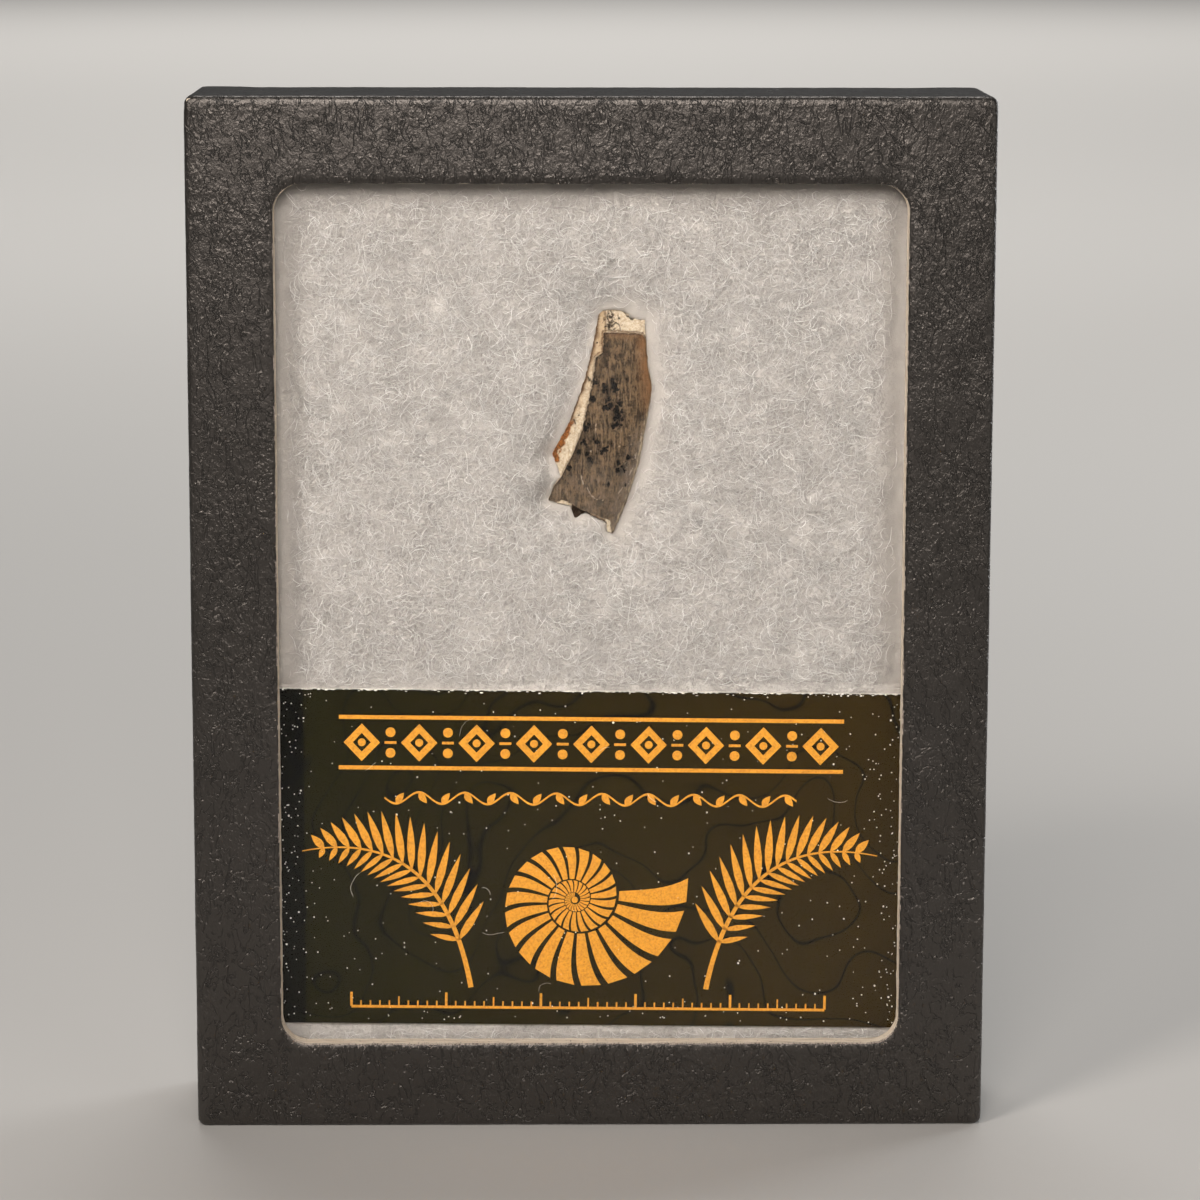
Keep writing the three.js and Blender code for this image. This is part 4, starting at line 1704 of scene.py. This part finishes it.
    def holes(self, at: ShardCorners) -> tuple[Array, Array]:
        """The pits and cracks of the broken top, and the crazed patch between them.

        Args:
            at: The corners.

        Returns:
            How deep each is sunk, and how dark it is.
        """
        sunk, dark = np.zeros(len(at.up)), np.zeros(len(at.up))
        for pit in self.pits:
            hole = at.spot(pit, 17) * ramp(1.5 - at.under / 2.5)
            sunk += self.pit_depth * hole * at.faces(0.2)
            dark = np.maximum(dark, 0.9 * hole)
        wander = 0.07 * at.grain(0.3, 22, 2)
        crazed = ramp(1.4 - np.hypot((at.across - 1.2) / 0.75, (at.up - 10.35) / 0.95))
        crazed = ramp(at.grain(0.32, 27, 2) + 0.55 * crazed - 0.62, 0.10)
        splits = [
            (ramp(1.3 - (at.from_line(crack) + wander) / 0.09), self.crack_depth, 0.88)
            for crack in self.cracks
        ]
        for hole, depth, shade in splits + [(crazed, self.crazing_depth, 0.85)]:
            sunk += depth * hole * at.broken * at.faces(0.3)
            dark = np.maximum(dark, shade * hole * at.broken * at.faces(0.5))
        hollow = (at.across > -3.4) & (at.across < -1.0) & (at.up < -8.75)
        dark = np.maximum(dark, 0.97 * hollow * at.broken * ramp(at.across + 3.05, 0.15))
        return sunk, dark

    def enamel_marks(self, at: ShardCorners) -> dict[str, Array]:
        """What is rubbed, smudged and tinted on the enamel, and the painted shade along its edge.

        Args:
            at: The corners.

        Returns:
            Values for each mark, by its name.
        """
        width = np.maximum(0.07 * (1 + 0.6 * at.grain(0.5, 23)), 0.03)
        flecks = ramp(at.grain(0.22, 24) - 0.55, 0.1) * (at.across > 1.8) * (at.up < 0)
        scuff = np.maximum.reduce([bell(at.from_line(line), width) for line in self.scuffs] + [flecks])
        smudge = np.maximum.reduce([
            spot.strength * bell(np.hypot(at.across - spot.across, (at.up - spot.up) / 1.4), spot.radius)
            for spot in self.smudges
        ])
        warm = bell(at.from_line(RIGHT_EDGE), 0.95) * ramp(at.up - 0.3, 2.5)
        warm = np.maximum(warm, 0.45 * bell(at.up - 9.0, 0.5))
        warm = warm + 0.5 * at.grain(1.2, 21, 2) * warm
        grey = ramp(at.across - 0.35 * at.up - 3.2, 2.0) * ramp(1.5 - at.up, 3)
        grey = np.maximum(grey, 0.45 * ramp(-3.0 - at.up, 3)) * (0.8 + 0.8 * at.grain(0.9, 25, 2))
        # Painted shade along the step of the enamel's edge.
        rim = bell(np.clip(at.inside, 0, None), 0.20) * (at.across < 4.2) * (at.up > -8.4) * at.enamel
        pale_rim = bell(at.from_line(FOOT_EDGE) - 0.05 - at.ragged, 0.10) * 0.75
        return {
            "scuff": scuff * at.enamel, "smudge": smudge * at.enamel, "warm": warm, "grey": grey,
            "rim": rim * 0.85, "pale_rim": pale_rim,
        }

    def break_marks(self, at: ShardCorners, ridge: Array) -> dict[str, Array]:
        """What is stained on the broken dentine, with the painted shade just outside the enamel's edge and
        on the break's leaning facets.

        Args:
            at: The corners.
            ridge: How far each is on the ridge of the broken top.

        Returns:
            Values for each mark, by its name.
        """
        from_break = at.from_line(LEFT_BREAK)
        along_break = ramp(np.exp(-from_break / 0.26) * 1.7 - 0.3 + 0.5 * at.grain(0.8, 20)) * 0.9
        nicks = ramp(at.grain(0.5, 19, 2) - 0.42, 0.12)
        low_break = ramp(-8.3 - at.up, 0.2) * (at.across > -2.95) * (np.abs(at.across - 0.9) > 0.35)
        stain = np.maximum.reduce([
            along_break,
            nicks * np.exp(-from_break / 0.7) * 0.8,
            # The next two are painted shade just outside the enamel's edge, at its step.
            0.8 * bell(at.inside + 0.08, 0.10) * (at.up > 6.5),
            0.5 * bell(at.inside + 0.05, 0.08) * (at.up > -8),
            0.85 * low_break,
            0.75 * ridge,
        ])
        rust = np.exp(-np.clip(at.from_line(RUST_EDGE) - 0.48 - 2 * at.ragged, 0, None) / 0.05)
        # Painted shade on the leaning facets: the top's left plane and the strip along the left break.
        plane = ((at.across < 0.56) & (at.up > 6.8)) * 0.6
        tan = np.maximum(plane, 0.75 * np.exp(-from_break / 0.35)) * (1 + 0.3 * at.grain(0.6, 26))
        return {
            "stain": stain * at.broken * at.faces(0.4), "rust": rust * at.broken * at.faces(0.5),
            "tan": tan * at.broken,
        }

    def carve(self, piece: Piece) -> None:
        """Gives the shard its relief, and marks what each place is made of.

        Args:
            piece: The shard, in millimetres.
        """
        at = self.survey(piece)
        sunk, dark = self.holes(at)
        ridge = bell(at.from_line(TOP_RIDGE), 0.10) * at.broken
        mineral = np.maximum.reduce([spot.strength * at.spot(spot, 18, 1.2) for spot in self.spots])
        push = self.relief(at) - sunk - self.ridge_depth * ridge
        push -= self.spot_depth * ramp(mineral * 4 - 2) * at.enamel
        marks = {"enamel": at.enamel, "mineral": mineral * at.enamel, "pit": dark}
        marks |= self.enamel_marks(at) | self.break_marks(at, ridge)
        for name, values in marks.items():
            mark(piece, name, ramp(values))
        place_points(piece, at.points + at.normals * push[:, None])


# ---- Batting ----


@dataclass
class Batting:
    """The pad of loose polyester fibre, pressed against the pane and hollowed round what it holds.

    Fibres start within a half width and below a top, or in the strip below the card. Where they end is held
    within a half width, a foot and a head.
    """

    pane: Span
    card: Span
    shard: ToothShard
    span: Span = field(default_factory=lambda: Span.of("fibre_batting"))
    columns: int = 216
    rows: int = 292
    loft: float = 0.62
    dip_reach: float = 2.1
    dip_depth: float = 0.15
    bed_depth: float = 3.4
    window_border: float = 8.8
    from_case: float = 4.6
    side_rings: Sequence[float] = (4.0, 8.0)
    fibres_a_piece: int = 7200
    fibre_pieces: int = 4
    fibre_steps: int = 5
    fibre_start: Pair = (33.6, 100.2)
    fibre_end: tuple[float, float, float] = (34.4, 6.6, 101.2)
    below_card: Pair = (7.6, 10.4)

    def surface(self, across: Array, up: Array, relief: bool = True) -> Array:
        """Where the pad's front lies.

        Args:
            across: Places along X.
            up: Places along Z.
            relief: Whether the small lumps are counted.

        Returns:
            Places along Y.
        """
        flat = np.column_stack([across, np.zeros_like(across), up])
        rest = self.pane.high.y + self.loft
        lumps = 0.05 * grain(flat, 3.2, 31, 2) + (0.08 * grain(flat, 0.7, 32, 2) if relief else 0)
        level = rest + np.clip(lumps, -0.2, 0.5)
        local = self.shard.about_middle(across, up)
        inside = inside_by(local, SHARD_EDGE)
        at_edge = self.dip_depth + self.shard.crown_depth(local[:, 0], local[:, 1])
        dip = at_edge * np.exp(-(np.clip(-inside, 0, None) / self.dip_reach) ** 1.3)
        level = level + dip + ramp(inside - 0.1, 0.6) * self.bed_depth
        card_top = self.card.high.z
        under_card = ramp(card_top - 0.2 - up, 0.5) * ramp(up - self.card.low.z - 0.2, 0.5)
        from_lip = np.clip(self.lip_distance(across, up), 0, None)
        slump = 0.252 * np.exp(-np.abs(up - card_top) / 0.5) + 0.8 * bell(from_lip, 1.7)
        return level + under_card * (self.card.high.y + 0.15 - rest) + slump * (up > card_top)

    def lip_distance(self, across: Array, up: Array) -> Array:
        """Measures from the window's sides and head, where the pad draws back a little.

        Args:
            across: Places along X.
            up: Places along Z.

        Returns:
            How far each lies inside the window.
        """
        half = self.span.size.x / 2 + self.from_case - self.window_border
        head = self.span.high.z + self.from_case - self.window_border
        return np.minimum(half - np.abs(across), head - up)

    def build(self) -> list[Piece]:
        """Models the pad and its loose fibres."""
        return [self.build_pad()] + [self.build_fibres(n) for n in range(self.fibre_pieces)]

    def build_pad(self) -> Piece:
        """The pad: a fine sheet shaped over what it holds, with its sides and back drawn from its rim.

        Returns:
            The pad.
        """
        size, centre = self.span.size, self.span.centre
        bpy.ops.mesh.primitive_grid_add(
            x_subdivisions=self.columns, y_subdivisions=self.rows, size=1,
            location=(centre.x, self.span.low.y, centre.z), rotation=(math.pi / 2, 0, 0),
        )
        bpy.context.object.scale = (size.x, size.z, 1)
        piece = start_piece("batting_pad")
        points = corners_of(piece)
        points[:, 1] = self.surface(points[:, 0], points[:, 2])
        rim = np.minimum(
            size.x / 2 - np.abs(points[:, 0] - centre.x), size.z / 2 - np.abs(points[:, 2] - centre.z)
        )
        points[:, 1] += 1.6 * np.exp(-rim / 0.9)
        place_points(piece, points)
        local = self.shard.about_middle(points[:, 0], points[:, 2])
        from_shard = np.clip(-inside_by(local, SHARD_EDGE), 0, None)
        from_lip = np.clip(self.lip_distance(points[:, 0], points[:, 2]), 0, None)
        reach = 0.9 + 1.3 * ramp(local[:, 0], 3)
        # Smooth matted zones round the shard, wider on its right, and along the window's sides and head; the
        # pad's material paints them darker, as painted shade of the shard and of the lid's edge.
        mark(piece, "calm", np.maximum(bell(from_shard, reach), 0.95 * bell(from_lip, 2.6)))
        pick(piece, Part.EDGES, lambda edge: edge.is_boundary)
        for depth in [self.span.low.y + side for side in self.side_rings] + [self.span.high.y]:
            bpy.ops.mesh.extrude_edges_move()
            for corner in bmesh.from_edit_mesh(piece.data).verts:
                if corner.select:
                    corner.co.y = depth
        bpy.ops.mesh.edge_face_add()
        bpy.ops.mesh.select_all(action="SELECT")
        bpy.ops.mesh.normals_make_consistent(inside=False)
        leave_edit()
        smooth(piece, 70)
        finish_piece(piece, PolyesterPad().make(), ["fibre_batting"])
        return piece

    def build_fibres(self, number: int) -> Piece:
        """One layer of loose fibres that curl over the pad where the window shows it.

        Args:
            number: Which layer it is.

        Returns:
            The joined fibres.
        """
        rng = np.random.default_rng(100 + number)
        count, steps = self.fibres_a_piece, self.fibre_steps
        (reach, top), (side, foot, head) = self.fibre_start, self.fibre_end
        across = rng.uniform(-reach, reach, count)
        low_strip = rng.random(count) < 0.06
        below = rng.uniform(*self.below_card, count)
        up = np.where(low_strip, below, rng.uniform(self.card.high.z - 0.5, top, count))
        heading = rng.uniform(0, 2 * np.pi, count)
        turn = rng.normal(0, 0.50, count)
        wobble = rng.normal(0, 0.26, (count, steps))
        length = 0.8 + 2.7 * rng.beta(1.2, 2.4, count)
        angles = heading[:, None] + turn[:, None] * np.arange(steps)[None, :] + np.cumsum(wobble, axis=1)
        stride = (length / (steps - 1))[:, None]
        xs, zs = curl(np.column_stack([across, up]), angles, stride)
        xs, zs = np.clip(xs, -side, side), np.clip(zs, foot, head)
        ground = self.surface(xs.ravel(), zs.ravel(), relief=False).reshape(count, steps)
        arch = np.sin(np.linspace(0, np.pi, steps))[None, :]
        height = rng.beta(1.3, 1.6, count)[:, None] * self.loft
        ys = ground + 0.08 - height * (0.45 + 0.75 * arch) + rng.normal(0, 0.03, (count, steps))
        ys = np.maximum(ys, self.pane.high.y + 0.04 + rng.uniform(0, 0.05, (count, 1)))
        paths = np.stack([xs, ys, zs], axis=2)
        local = self.shard.about_middle(xs.ravel(), zs.ravel())
        apart = -inside_by(local, SHARD_EDGE).reshape(count, steps).max(axis=1)
        to_right = ramp(local[:, 0].reshape(count, steps).min(axis=1), 3)
        clear = apart > 0.05 + (1.1 + 1.9 * to_right) * rng.beta(1.3, 2.2, count)
        clear &= self.lip_distance(xs, zs).min(axis=1) > 0.3 + 4.6 * rng.beta(1.6, 2.4, count)
        on_card = (zs < self.card.high.z + 0.05) & (zs > self.card.low.z - 0.05)
        clear &= ~on_card.any(axis=1)
        radii = 0.020 + 0.022 * rng.beta(1.2, 2.0, count)
        pale = rng.beta(0.7, 1.4, count)
        piece = thin_tubes(f"loose_fibres_{number + 1}", paths[clear], radii[clear], pale[clear])
        return finish_piece(piece, bpy.data.materials["polyester_fibre"])


# ---- Card ----


@dataclass
class Card:
    """The printed card: dark ground, golden ornament, white core at its cut edges."""

    span: Span = field(default_factory=lambda: Span.of("label_card"))
    width: float = 70.6
    height: float = 36.0
    tip: float = math.radians(0.6)
    ink: float = 0.018

    def build(self) -> list[Piece]:
        """Models the card and what is on it.

        Returns:
            The card, its print, dust, worn edge and hairs.
        """
        return [
            self.build_card(), self.build_print(), self.build_dust(), self.build_worn_edge(),
            self.build_hairs(),
        ]

    def tipped(self) -> Matrix:
        """From places about the card's middle, X across and Z up, to places in the case."""
        centre = self.span.centre
        return Matrix.Translation((centre.x, self.span.low.y, centre.z)) @ Matrix.Rotation(self.tip, 4, "Y")

    def lay(self, piece: Piece) -> Piece:
        """Lays a loose thing on the tipped card, white as the card's core."""
        piece.data.transform(self.tipped())
        return finish_piece(piece, bpy.data.materials["card_core"])

    def build_card(self) -> Piece:
        """The card: a thin block with its cut edges just broken.

        Returns:
            The card.
        """
        thickness = self.span.size.y
        piece = add_block("printed_card", (0, thickness / 2, 0), (self.width, thickness, self.height))
        pick(piece, Part.FACES, lambda face: True)
        bpy.ops.mesh.subdivide(number_cuts=60)
        leave_edit()
        points = corners_of(piece)
        edge_x = np.abs(np.abs(points[:, 0]) - self.width / 2) < 1e-4
        edge_z = np.abs(np.abs(points[:, 2]) - self.height / 2) < 1e-4
        rough = 0.035 * grain(points, 0.6, 51, 2)
        points[:, 0] -= np.sign(points[:, 0]) * np.where(edge_x, np.abs(rough), 0)
        points[:, 2] -= np.sign(points[:, 2]) * np.where(edge_z, np.abs(rough), 0)
        place_points(piece, points)
        piece.data.transform(self.tipped())
        piece.data.materials.append(PrintedBlack().make())
        piece.data.materials.append(CardCore().make())
        for face in piece.data.polygons:
            face.material_index = 0 if face.normal.y < -0.5 else 1
        smooth(piece, 30)
        return finish_piece(piece, None, ["label_card"])

    def build_print(self) -> Piece:
        """The golden print: a frieze, a vine, a coiled shell between two ferns, and a tick rule.

        Returns:
            The joined print.
        """
        parts = self.frieze() + self.vine() + self.shell() + self.fern(-1) + self.fern(1) + self.rule()
        bpy.ops.object.select_all(action="DESELECT")
        for part in parts:
            part.select_set(True)
        bpy.context.view_layer.objects.active = parts[0]
        bpy.ops.object.join()
        piece = start_piece("golden_print")
        apply_modifier(piece, "SOLIDIFY", thickness=self.ink, offset=-1.0)
        piece.data.transform(Matrix.Translation((0, -self.ink, 0)))
        piece.data.transform(self.tipped())
        return finish_piece(piece, GoldenInk().make())

    def patch(self, corners: Iterable[Pair]) -> Piece:
        """One flat patch of ink.

        Args:
            corners: Its corners across and up, in order.

        Returns:
            A new object, facing out of the card.
        """
        places = list(corners)
        area = sum(a[0] * b[1] - b[0] * a[1] for a, b in zip(places, places[1:] + places[:1]))
        if area < 0:
            places.reverse()
        mesh = bpy.data.meshes.new("ink")
        mesh.from_pydata([(x, 0.0, z) for x, z in places], [], [list(range(len(places)))])
        return stand("ink", mesh)

    def bar(self, x0: float, x1: float, z0: float, z1: float) -> Piece:
        """A rectangular patch of ink."""
        return self.patch(((x0, z0), (x1, z0), (x1, z1), (x0, z1)))

    def disc(self, x: float, z: float, radius: float) -> Piece:
        """A round patch of ink."""
        turns = [2 * math.pi * n / 14 for n in range(14)]
        return self.patch((x + radius * math.cos(t), z + radius * math.sin(t)) for t in turns)

    def leaf(self, x: float, z: float, turn: float, long: float, wide: float) -> Piece:
        """A pointed leaf of ink.

        Args:
            x: Its foot across the card.
            z: Its foot up the card.
            turn: Its direction, in radians from across.
            long: Its length.
            wide: Half of its width.

        Returns:
            A new object.
        """
        side = [(0.0, 0.12), (0.2, 0.8), (0.42, 1.0), (0.68, 0.72), (0.88, 0.3), (1.0, 0.0)]
        outline = side + [(a, -w) for a, w in reversed(side[:-1])]
        return self.patch(
            (
                x + a * long * math.cos(turn) - w * wide * math.sin(turn),
                z + a * long * math.sin(turn) + w * wide * math.cos(turn),
            )
            for a, w in outline
        )

    def frieze(self) -> list[Piece]:
        """A bold band: lozenges with small hearts, and pairs of discs between them, within two lines.

        Returns:
            Its patches.
        """
        low, high, middle = 9.4, 15.2, 12.3
        parts = [self.bar(-26.4, 26.4, low, low + 0.42), self.bar(-26.4, 26.4, high - 0.42, high)]
        for number in range(-4, 5):
            x = number * 6.0
            for side in (-1, 1):
                corners = (
                    (0.0, 2.0), (1.9 * side, 0.0), (0.0, -2.0), (0.0, -1.0), (0.95 * side, 0.0), (0.0, 1.0)
                )
                parts.append(self.patch((x + a, middle + b) for a, b in corners))
            parts.append(self.disc(x, middle, 0.42))
        for number in range(-4, 4):
            x = number * 6.0 + 3.0
            parts += [self.disc(x, middle + 1.1, 0.52), self.disc(x, middle - 1.1, 0.52)]
            parts.append(self.bar(x - 0.62, x + 0.62, middle - 0.14, middle + 0.14))
        return parts

    def vine(self) -> list[Piece]:
        """A waving stem with a leaf on each bend.

        Returns:
            Its patches.
        """
        parts = []
        places = [(x, 6.4 + 0.62 * math.sin(x * math.pi / 2.4)) for x in np.arange(-21.6, 21.7, 0.3)]
        for (x0, z0), (x1, z1) in zip(places, places[1:]):
            parts.append(self.patch(((x0, z0 - 0.11), (x1, z1 - 0.11), (x1, z1 + 0.11), (x0, z0 + 0.11))))
        for number in range(-9, 9):
            x = (number + 0.5) * 2.4
            crest = 1 if number % 2 == 0 else -1
            parts.append(self.leaf(x, 6.4 + 0.5 * crest, -crest * 0.9, 1.35, 0.36))
        return parts

    def shell(self) -> list[Piece]:
        """A coiled shell: ribs that widen outwards along its whorls.

        Returns:
            Its patches.
        """
        parts = []
        ribs, turns, size, tightness = 60, 2.8, 12.2, 0.158
        centre = (-1.6, -4.4)

        def place(angle: float, share: float) -> Pair:
            """A place on the whorl.

            Args:
                angle: How far along it.
                share: How far across it, from 0 inside to 1 outside.

            Returns:
                The place, across and up.
            """
            outer = size * math.exp(-tightness * angle)
            inner = size * math.exp(-tightness * (angle + 2 * math.pi)) * 1.07
            radius = inner + (outer - inner) * share
            turn = 0.15 - angle + 0.2 * (share - 0.5) ** 2
            return centre[0] + radius * math.cos(turn), centre[1] + radius * math.sin(turn)

        for rib in range(ribs):
            start = rib * turns * 2 * math.pi / ribs
            end = start + turns * 2 * math.pi / ribs * 0.72
            shares = [i / 8 for i in range(9)]
            side = [place(start, s) for s in shares]
            back = [place(end, s) for s in reversed(shares)]
            parts.append(self.patch(side + back))
        parts.append(self.disc(centre[0] + 0.05, centre[1] - 0.02, 0.34))
        return parts

    def fern(self, side: int) -> list[Piece]:
        """A fern frond that rises from beside the shell and arches outwards.

        Args:
            side: -1 for the left one, 1 for the right one.

        Returns:
            Its stem and leaflets.
        """
        foot, crown, tip = (12.4, -14.0), (15.6, 3.6), (30.2, 0.6)

        def stem(share: float) -> Pair:
            """A place on the stem.

            Args:
                share: How far along it, from 0 at its foot to 1 at its tip.

            Returns:
                The place, across and up.
            """
            weights = ((1 - share) ** 2, 2 * share * (1 - share), share**2)
            x = sum(w * p[0] for w, p in zip(weights, (foot, crown, tip)))
            z = sum(w * p[1] for w, p in zip(weights, (foot, crown, tip)))
            return side * x, z

        parts = []
        steps = 40
        for number in range(steps):
            (x0, z0), (x1, z1) = stem(number / steps), stem((number + 1) / steps)
            thick = 0.22 * (1 - number / steps) + 0.05
            run = math.atan2(z1 - z0, x1 - x0)
            dx, dz = -math.sin(run) * thick, math.cos(run) * thick
            parts.append(self.patch(
                ((x0 + dx, z0 + dz), (x1 + dx, z1 + dz), (x1 - dx, z1 - dz), (x0 - dx, z0 - dz))
            ))
        pairs = 17
        for number in range(1, pairs):
            share = 0.12 + 0.86 * number / pairs
            (x0, z0), (x1, z1) = stem(share - 0.01), stem(share + 0.01)
            run = math.atan2(z1 - z0, x1 - x0)
            long = 5.4 * math.sin(math.pi * (0.14 + 0.86 * share)) ** 0.8 + 0.5
            for way in (-1, 1):
                inner = way == -side
                parts.append(self.leaf(
                    x0, z0, run + way * (1.02 if inner else 0.9), long * (0.62 if inner else 1.0),
                    0.30 if inner else 0.42,
                ))
        return parts

    def rule(self) -> list[Piece]:
        """A plain rule with a long tick at each centimetre.

        Returns:
            Its patches.
        """
        foot = -16.3
        parts = [self.bar(-25, 25, foot, foot + 0.28)]
        for number in range(51):
            x = -25 + number
            tall = 1.5 if number % 10 == 0 else 1.05 if number % 5 == 0 else 0.6
            half = 0.13 if number % 10 == 0 else 0.08
            parts.append(self.bar(x - half, x + half, foot + 0.2, foot + 0.2 + tall))
        return parts

    def build_dust(self) -> Piece:
        """White dust on the card, and crumbs of its core along its upper edge.

        Returns:
            The joined dust.
        """
        rng = np.random.default_rng(61)
        count, crumbs = 520, 70
        across = rng.uniform(-32.5, 32.5, count)
        up = rng.uniform(-self.height / 2 + 0.5, self.height / 2 - 0.5, count)
        gathered = rng.choice(4, count, p=(0.5, 0.2, 0.2, 0.1))
        across = np.where(gathered == 1, -32.4 + rng.exponential(1.4, count), across)
        across = np.where(gathered == 2, 32.4 - rng.exponential(1.8, count), across)
        up = np.where(gathered == 3, -self.height / 2 + 0.4 + rng.exponential(1.2, count), up)
        size = rng.uniform(0.050, 0.095, count) * rng.choice((1.0, 1.5), count, p=(0.92, 0.08))
        dust = np.column_stack([across, np.full(count, -0.03), up, size, size])
        across = rng.uniform(-self.width / 2 + 3, self.width / 2 - 3, crumbs)
        up = self.height / 2 - 0.08 - rng.exponential(0.10, crumbs)
        wide = rng.uniform(0.06, 0.22, crumbs)
        chips = np.column_stack([across, np.full(crumbs, -0.02), up, wide, rng.uniform(0.04, 0.12, crumbs)])
        spots = np.concatenate([dust, chips])
        turns = np.arange(6) * math.pi / 3
        rims = np.stack([
            spots[:, None, 0] + spots[:, None, 3] * np.cos(turns) * rng.uniform(0.6, 1.1, (len(spots), 6)),
            np.zeros((len(spots), 6)),
            spots[:, None, 2] + spots[:, None, 4] * np.sin(turns) * rng.uniform(0.6, 1.1, (len(spots), 6)),
        ], axis=2)
        tips = spots[:, None, :3]
        points = np.concatenate([rims, tips], axis=1).reshape(-1, 3)
        base = np.arange(len(spots)) * 7
        faces = np.concatenate([np.column_stack([base + n, base + (n + 1) % 6, base + 6]) for n in range(6)])
        return self.lay(mesh_piece("card_dust", points, faces))

    def build_worn_edge(self) -> Piece:
        """The white line along the card's upper edge, where the print has rubbed off its core.

        Returns:
            The line.
        """
        steps = 560
        xs = np.linspace(-self.width / 2 + 0.05, self.width / 2 - 0.05, steps)
        flat = np.column_stack([xs, np.zeros(steps), np.zeros(steps)])
        depth = 0.03 + 0.08 * grain(flat, 1.6, 62, 2) + 0.12 * grain(flat, 0.3, 63)
        head = np.full(steps, self.height / 2 - 0.045)
        foot = head - np.clip(depth, 0.01, 0.2)
        flush, proud = np.zeros(steps), np.full(steps, -0.014)
        rows = [
            np.column_stack([xs, lift, up])
            for lift, up in ((flush, head + 0.01), (proud, head), (proud, foot), (flush, foot - 0.01))
        ]
        base = np.arange(steps - 1)
        faces = np.concatenate([
            np.column_stack([base, base + steps, base + steps + 1, base + 1]) + row * steps
            for row in range(len(rows) - 1)
        ])
        return self.lay(mesh_piece("card_worn_edge", np.concatenate(rows), faces))

    def build_hairs(self) -> Piece:
        """A few loose pale hairs that lie curled on the card.

        Returns:
            The joined hairs.
        """
        rng = np.random.default_rng(67)
        count, steps = 11, 12
        start = np.column_stack([rng.uniform(-30, 30, count), rng.uniform(-15, 16, count)])
        turns = rng.uniform(0, 2 * np.pi, (count, 1))
        turns = turns + rng.uniform(-0.28, 0.28, (count, 1)) * np.arange(steps)
        turns += np.cumsum(rng.normal(0, 0.08, (count, steps)), axis=1)
        stride = rng.uniform(1.0, 3.4, (count, 1)) / steps
        xs, zs = curl(start, turns, stride)
        paths = np.stack([xs, np.full_like(xs, -0.04), zs], axis=2)
        return self.lay(thin_tubes("card_hairs", paths, rng.uniform(0.010, 0.017, count)))


# ---- Studio ----


@dataclass
class Studio:
    """Pale floor, soft lights and the camera."""

    floor_size: float = 14.0
    azimuth: float = 0.83
    elevation: float = 9.83
    roll: float = 0.12
    distance: float = 0.440
    aim: tuple[float, float, float] = (0.00095, -0.0095, 0.05625)
    focal_length: float = 127.9
    sensor: float = 36.0

    def build(self) -> None:
        """Sets the stage."""
        self.build_floor()
        self.light("key", (-0.36, -0.46, 0.42), 0.18, 0.16, (1.0, 0.925, 0.86), (0, 0, 0.070), 50)
        self.light("gleam", (-0.03, -0.34, 0.20), 0.09, 0.075, (1.0, 0.93, 0.88), (0, 0, 0.080), 60)
        self.light("fill", (0.75, -1.00, 0.35), 0.6, 0.42, (1.0, 0.95, 0.90), spread=80)
        self.light("back", (0.85, 0.75, 0.28), 0.5, 0.9, (0.96, 0.98, 1.0), spread=60)
        self.light("overhead", (0.0, 0.85, 2.2), 0.8, 5, (1.0, 0.98, 0.96), aim=(0, 0.85, 0), spread=66)
        self.light("floor_wash", (0.0, 2.7, 2.2), 2.0, 22, (1.0, 0.98, 0.96), aim=(0, 2.7, 0), spread=95)
        world = bpy.data.worlds.new("studio")
        bpy.context.scene.world = world
        world.use_nodes = True
        background = world.node_tree.nodes["Background"]
        background.inputs["Color"].default_value = (0.80, 0.82, 0.85, 1)
        background.inputs["Strength"].default_value = 0.11
        bpy.context.scene.view_settings.view_transform = "Standard"
        self.build_camera()

    def build_floor(self) -> None:
        """A wide plain floor."""
        bpy.ops.mesh.primitive_plane_add(size=self.floor_size)
        floor = bpy.context.object
        floor.name = "studio_floor"
        floor.data.materials.append(PaleFloor().make())

    def light(
        self, name: str, place: Sequence[float], size: float, watts: float, colour: Colour,
        aim: Sequence[float] = (0, 0, 0.054), spread: float = 180,
    ) -> None:
        """Adds a square soft light.

        Args:
            name: Its name.
            place: Where it stands, in metres.
            size: Its side, in metres.
            watts: Its power.
            colour: Its colour.
            aim: The place that it faces, in metres.
            spread: Width of its beam, in degrees.
        """
        lamp = bpy.data.lights.new(name, "AREA")
        lamp.spread = math.radians(spread)
        lamp.size = size
        lamp.energy = watts
        lamp.color = colour
        holder = stand(name, lamp)
        holder.location = place
        towards = Vector(aim) - Vector(place)
        holder.rotation_euler = towards.to_track_quat("-Z", "Y").to_euler()

    def build_camera(self) -> None:
        """Sets the camera a little above and in front of the case."""
        lens = bpy.data.cameras.new("camera")
        lens.lens = self.focal_length
        lens.sensor_width = self.sensor
        lens.clip_start = 0.01
        lens.clip_end = 50
        camera = stand("camera", lens)
        azimuth, elevation = math.radians(self.azimuth), math.radians(self.elevation)
        away = Vector((
            -math.sin(azimuth) * math.cos(elevation),
            -math.cos(azimuth) * math.cos(elevation),
            math.sin(elevation),
        ))
        camera.location = Vector(self.aim) + away * self.distance
        facing = (-away).to_track_quat("-Z", "Y") @ Matrix.Rotation(
            math.radians(self.roll), 3, "Z"
        ).to_quaternion()
        camera.rotation_euler = facing.to_euler()
        bpy.context.scene.camera = camera


def main() -> None:
    """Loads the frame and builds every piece."""
    logging.basicConfig(level=logging.INFO, format="%(name)s: %(message)s")
    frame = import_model()
    bpy.ops.object.select_all(action="DESELECT")
    Studio().build()
    frame["nodes"]["tray_board"].material_slots[0].material = ChipBoard().make()
    Lid(LidOutline(Span.of("lid_cover_paper"))).build()
    Tray().build()
    pane = Pane()
    pane.build()
    for side in Side:
        Pin(side).build()
    shard = ToothShard()
    shard.build()
    Card().build()
    PolyesterFibre().make()
    Batting(pane.span, Span.of("label_card"), shard).build()


if __name__ == "__main__":
    main()
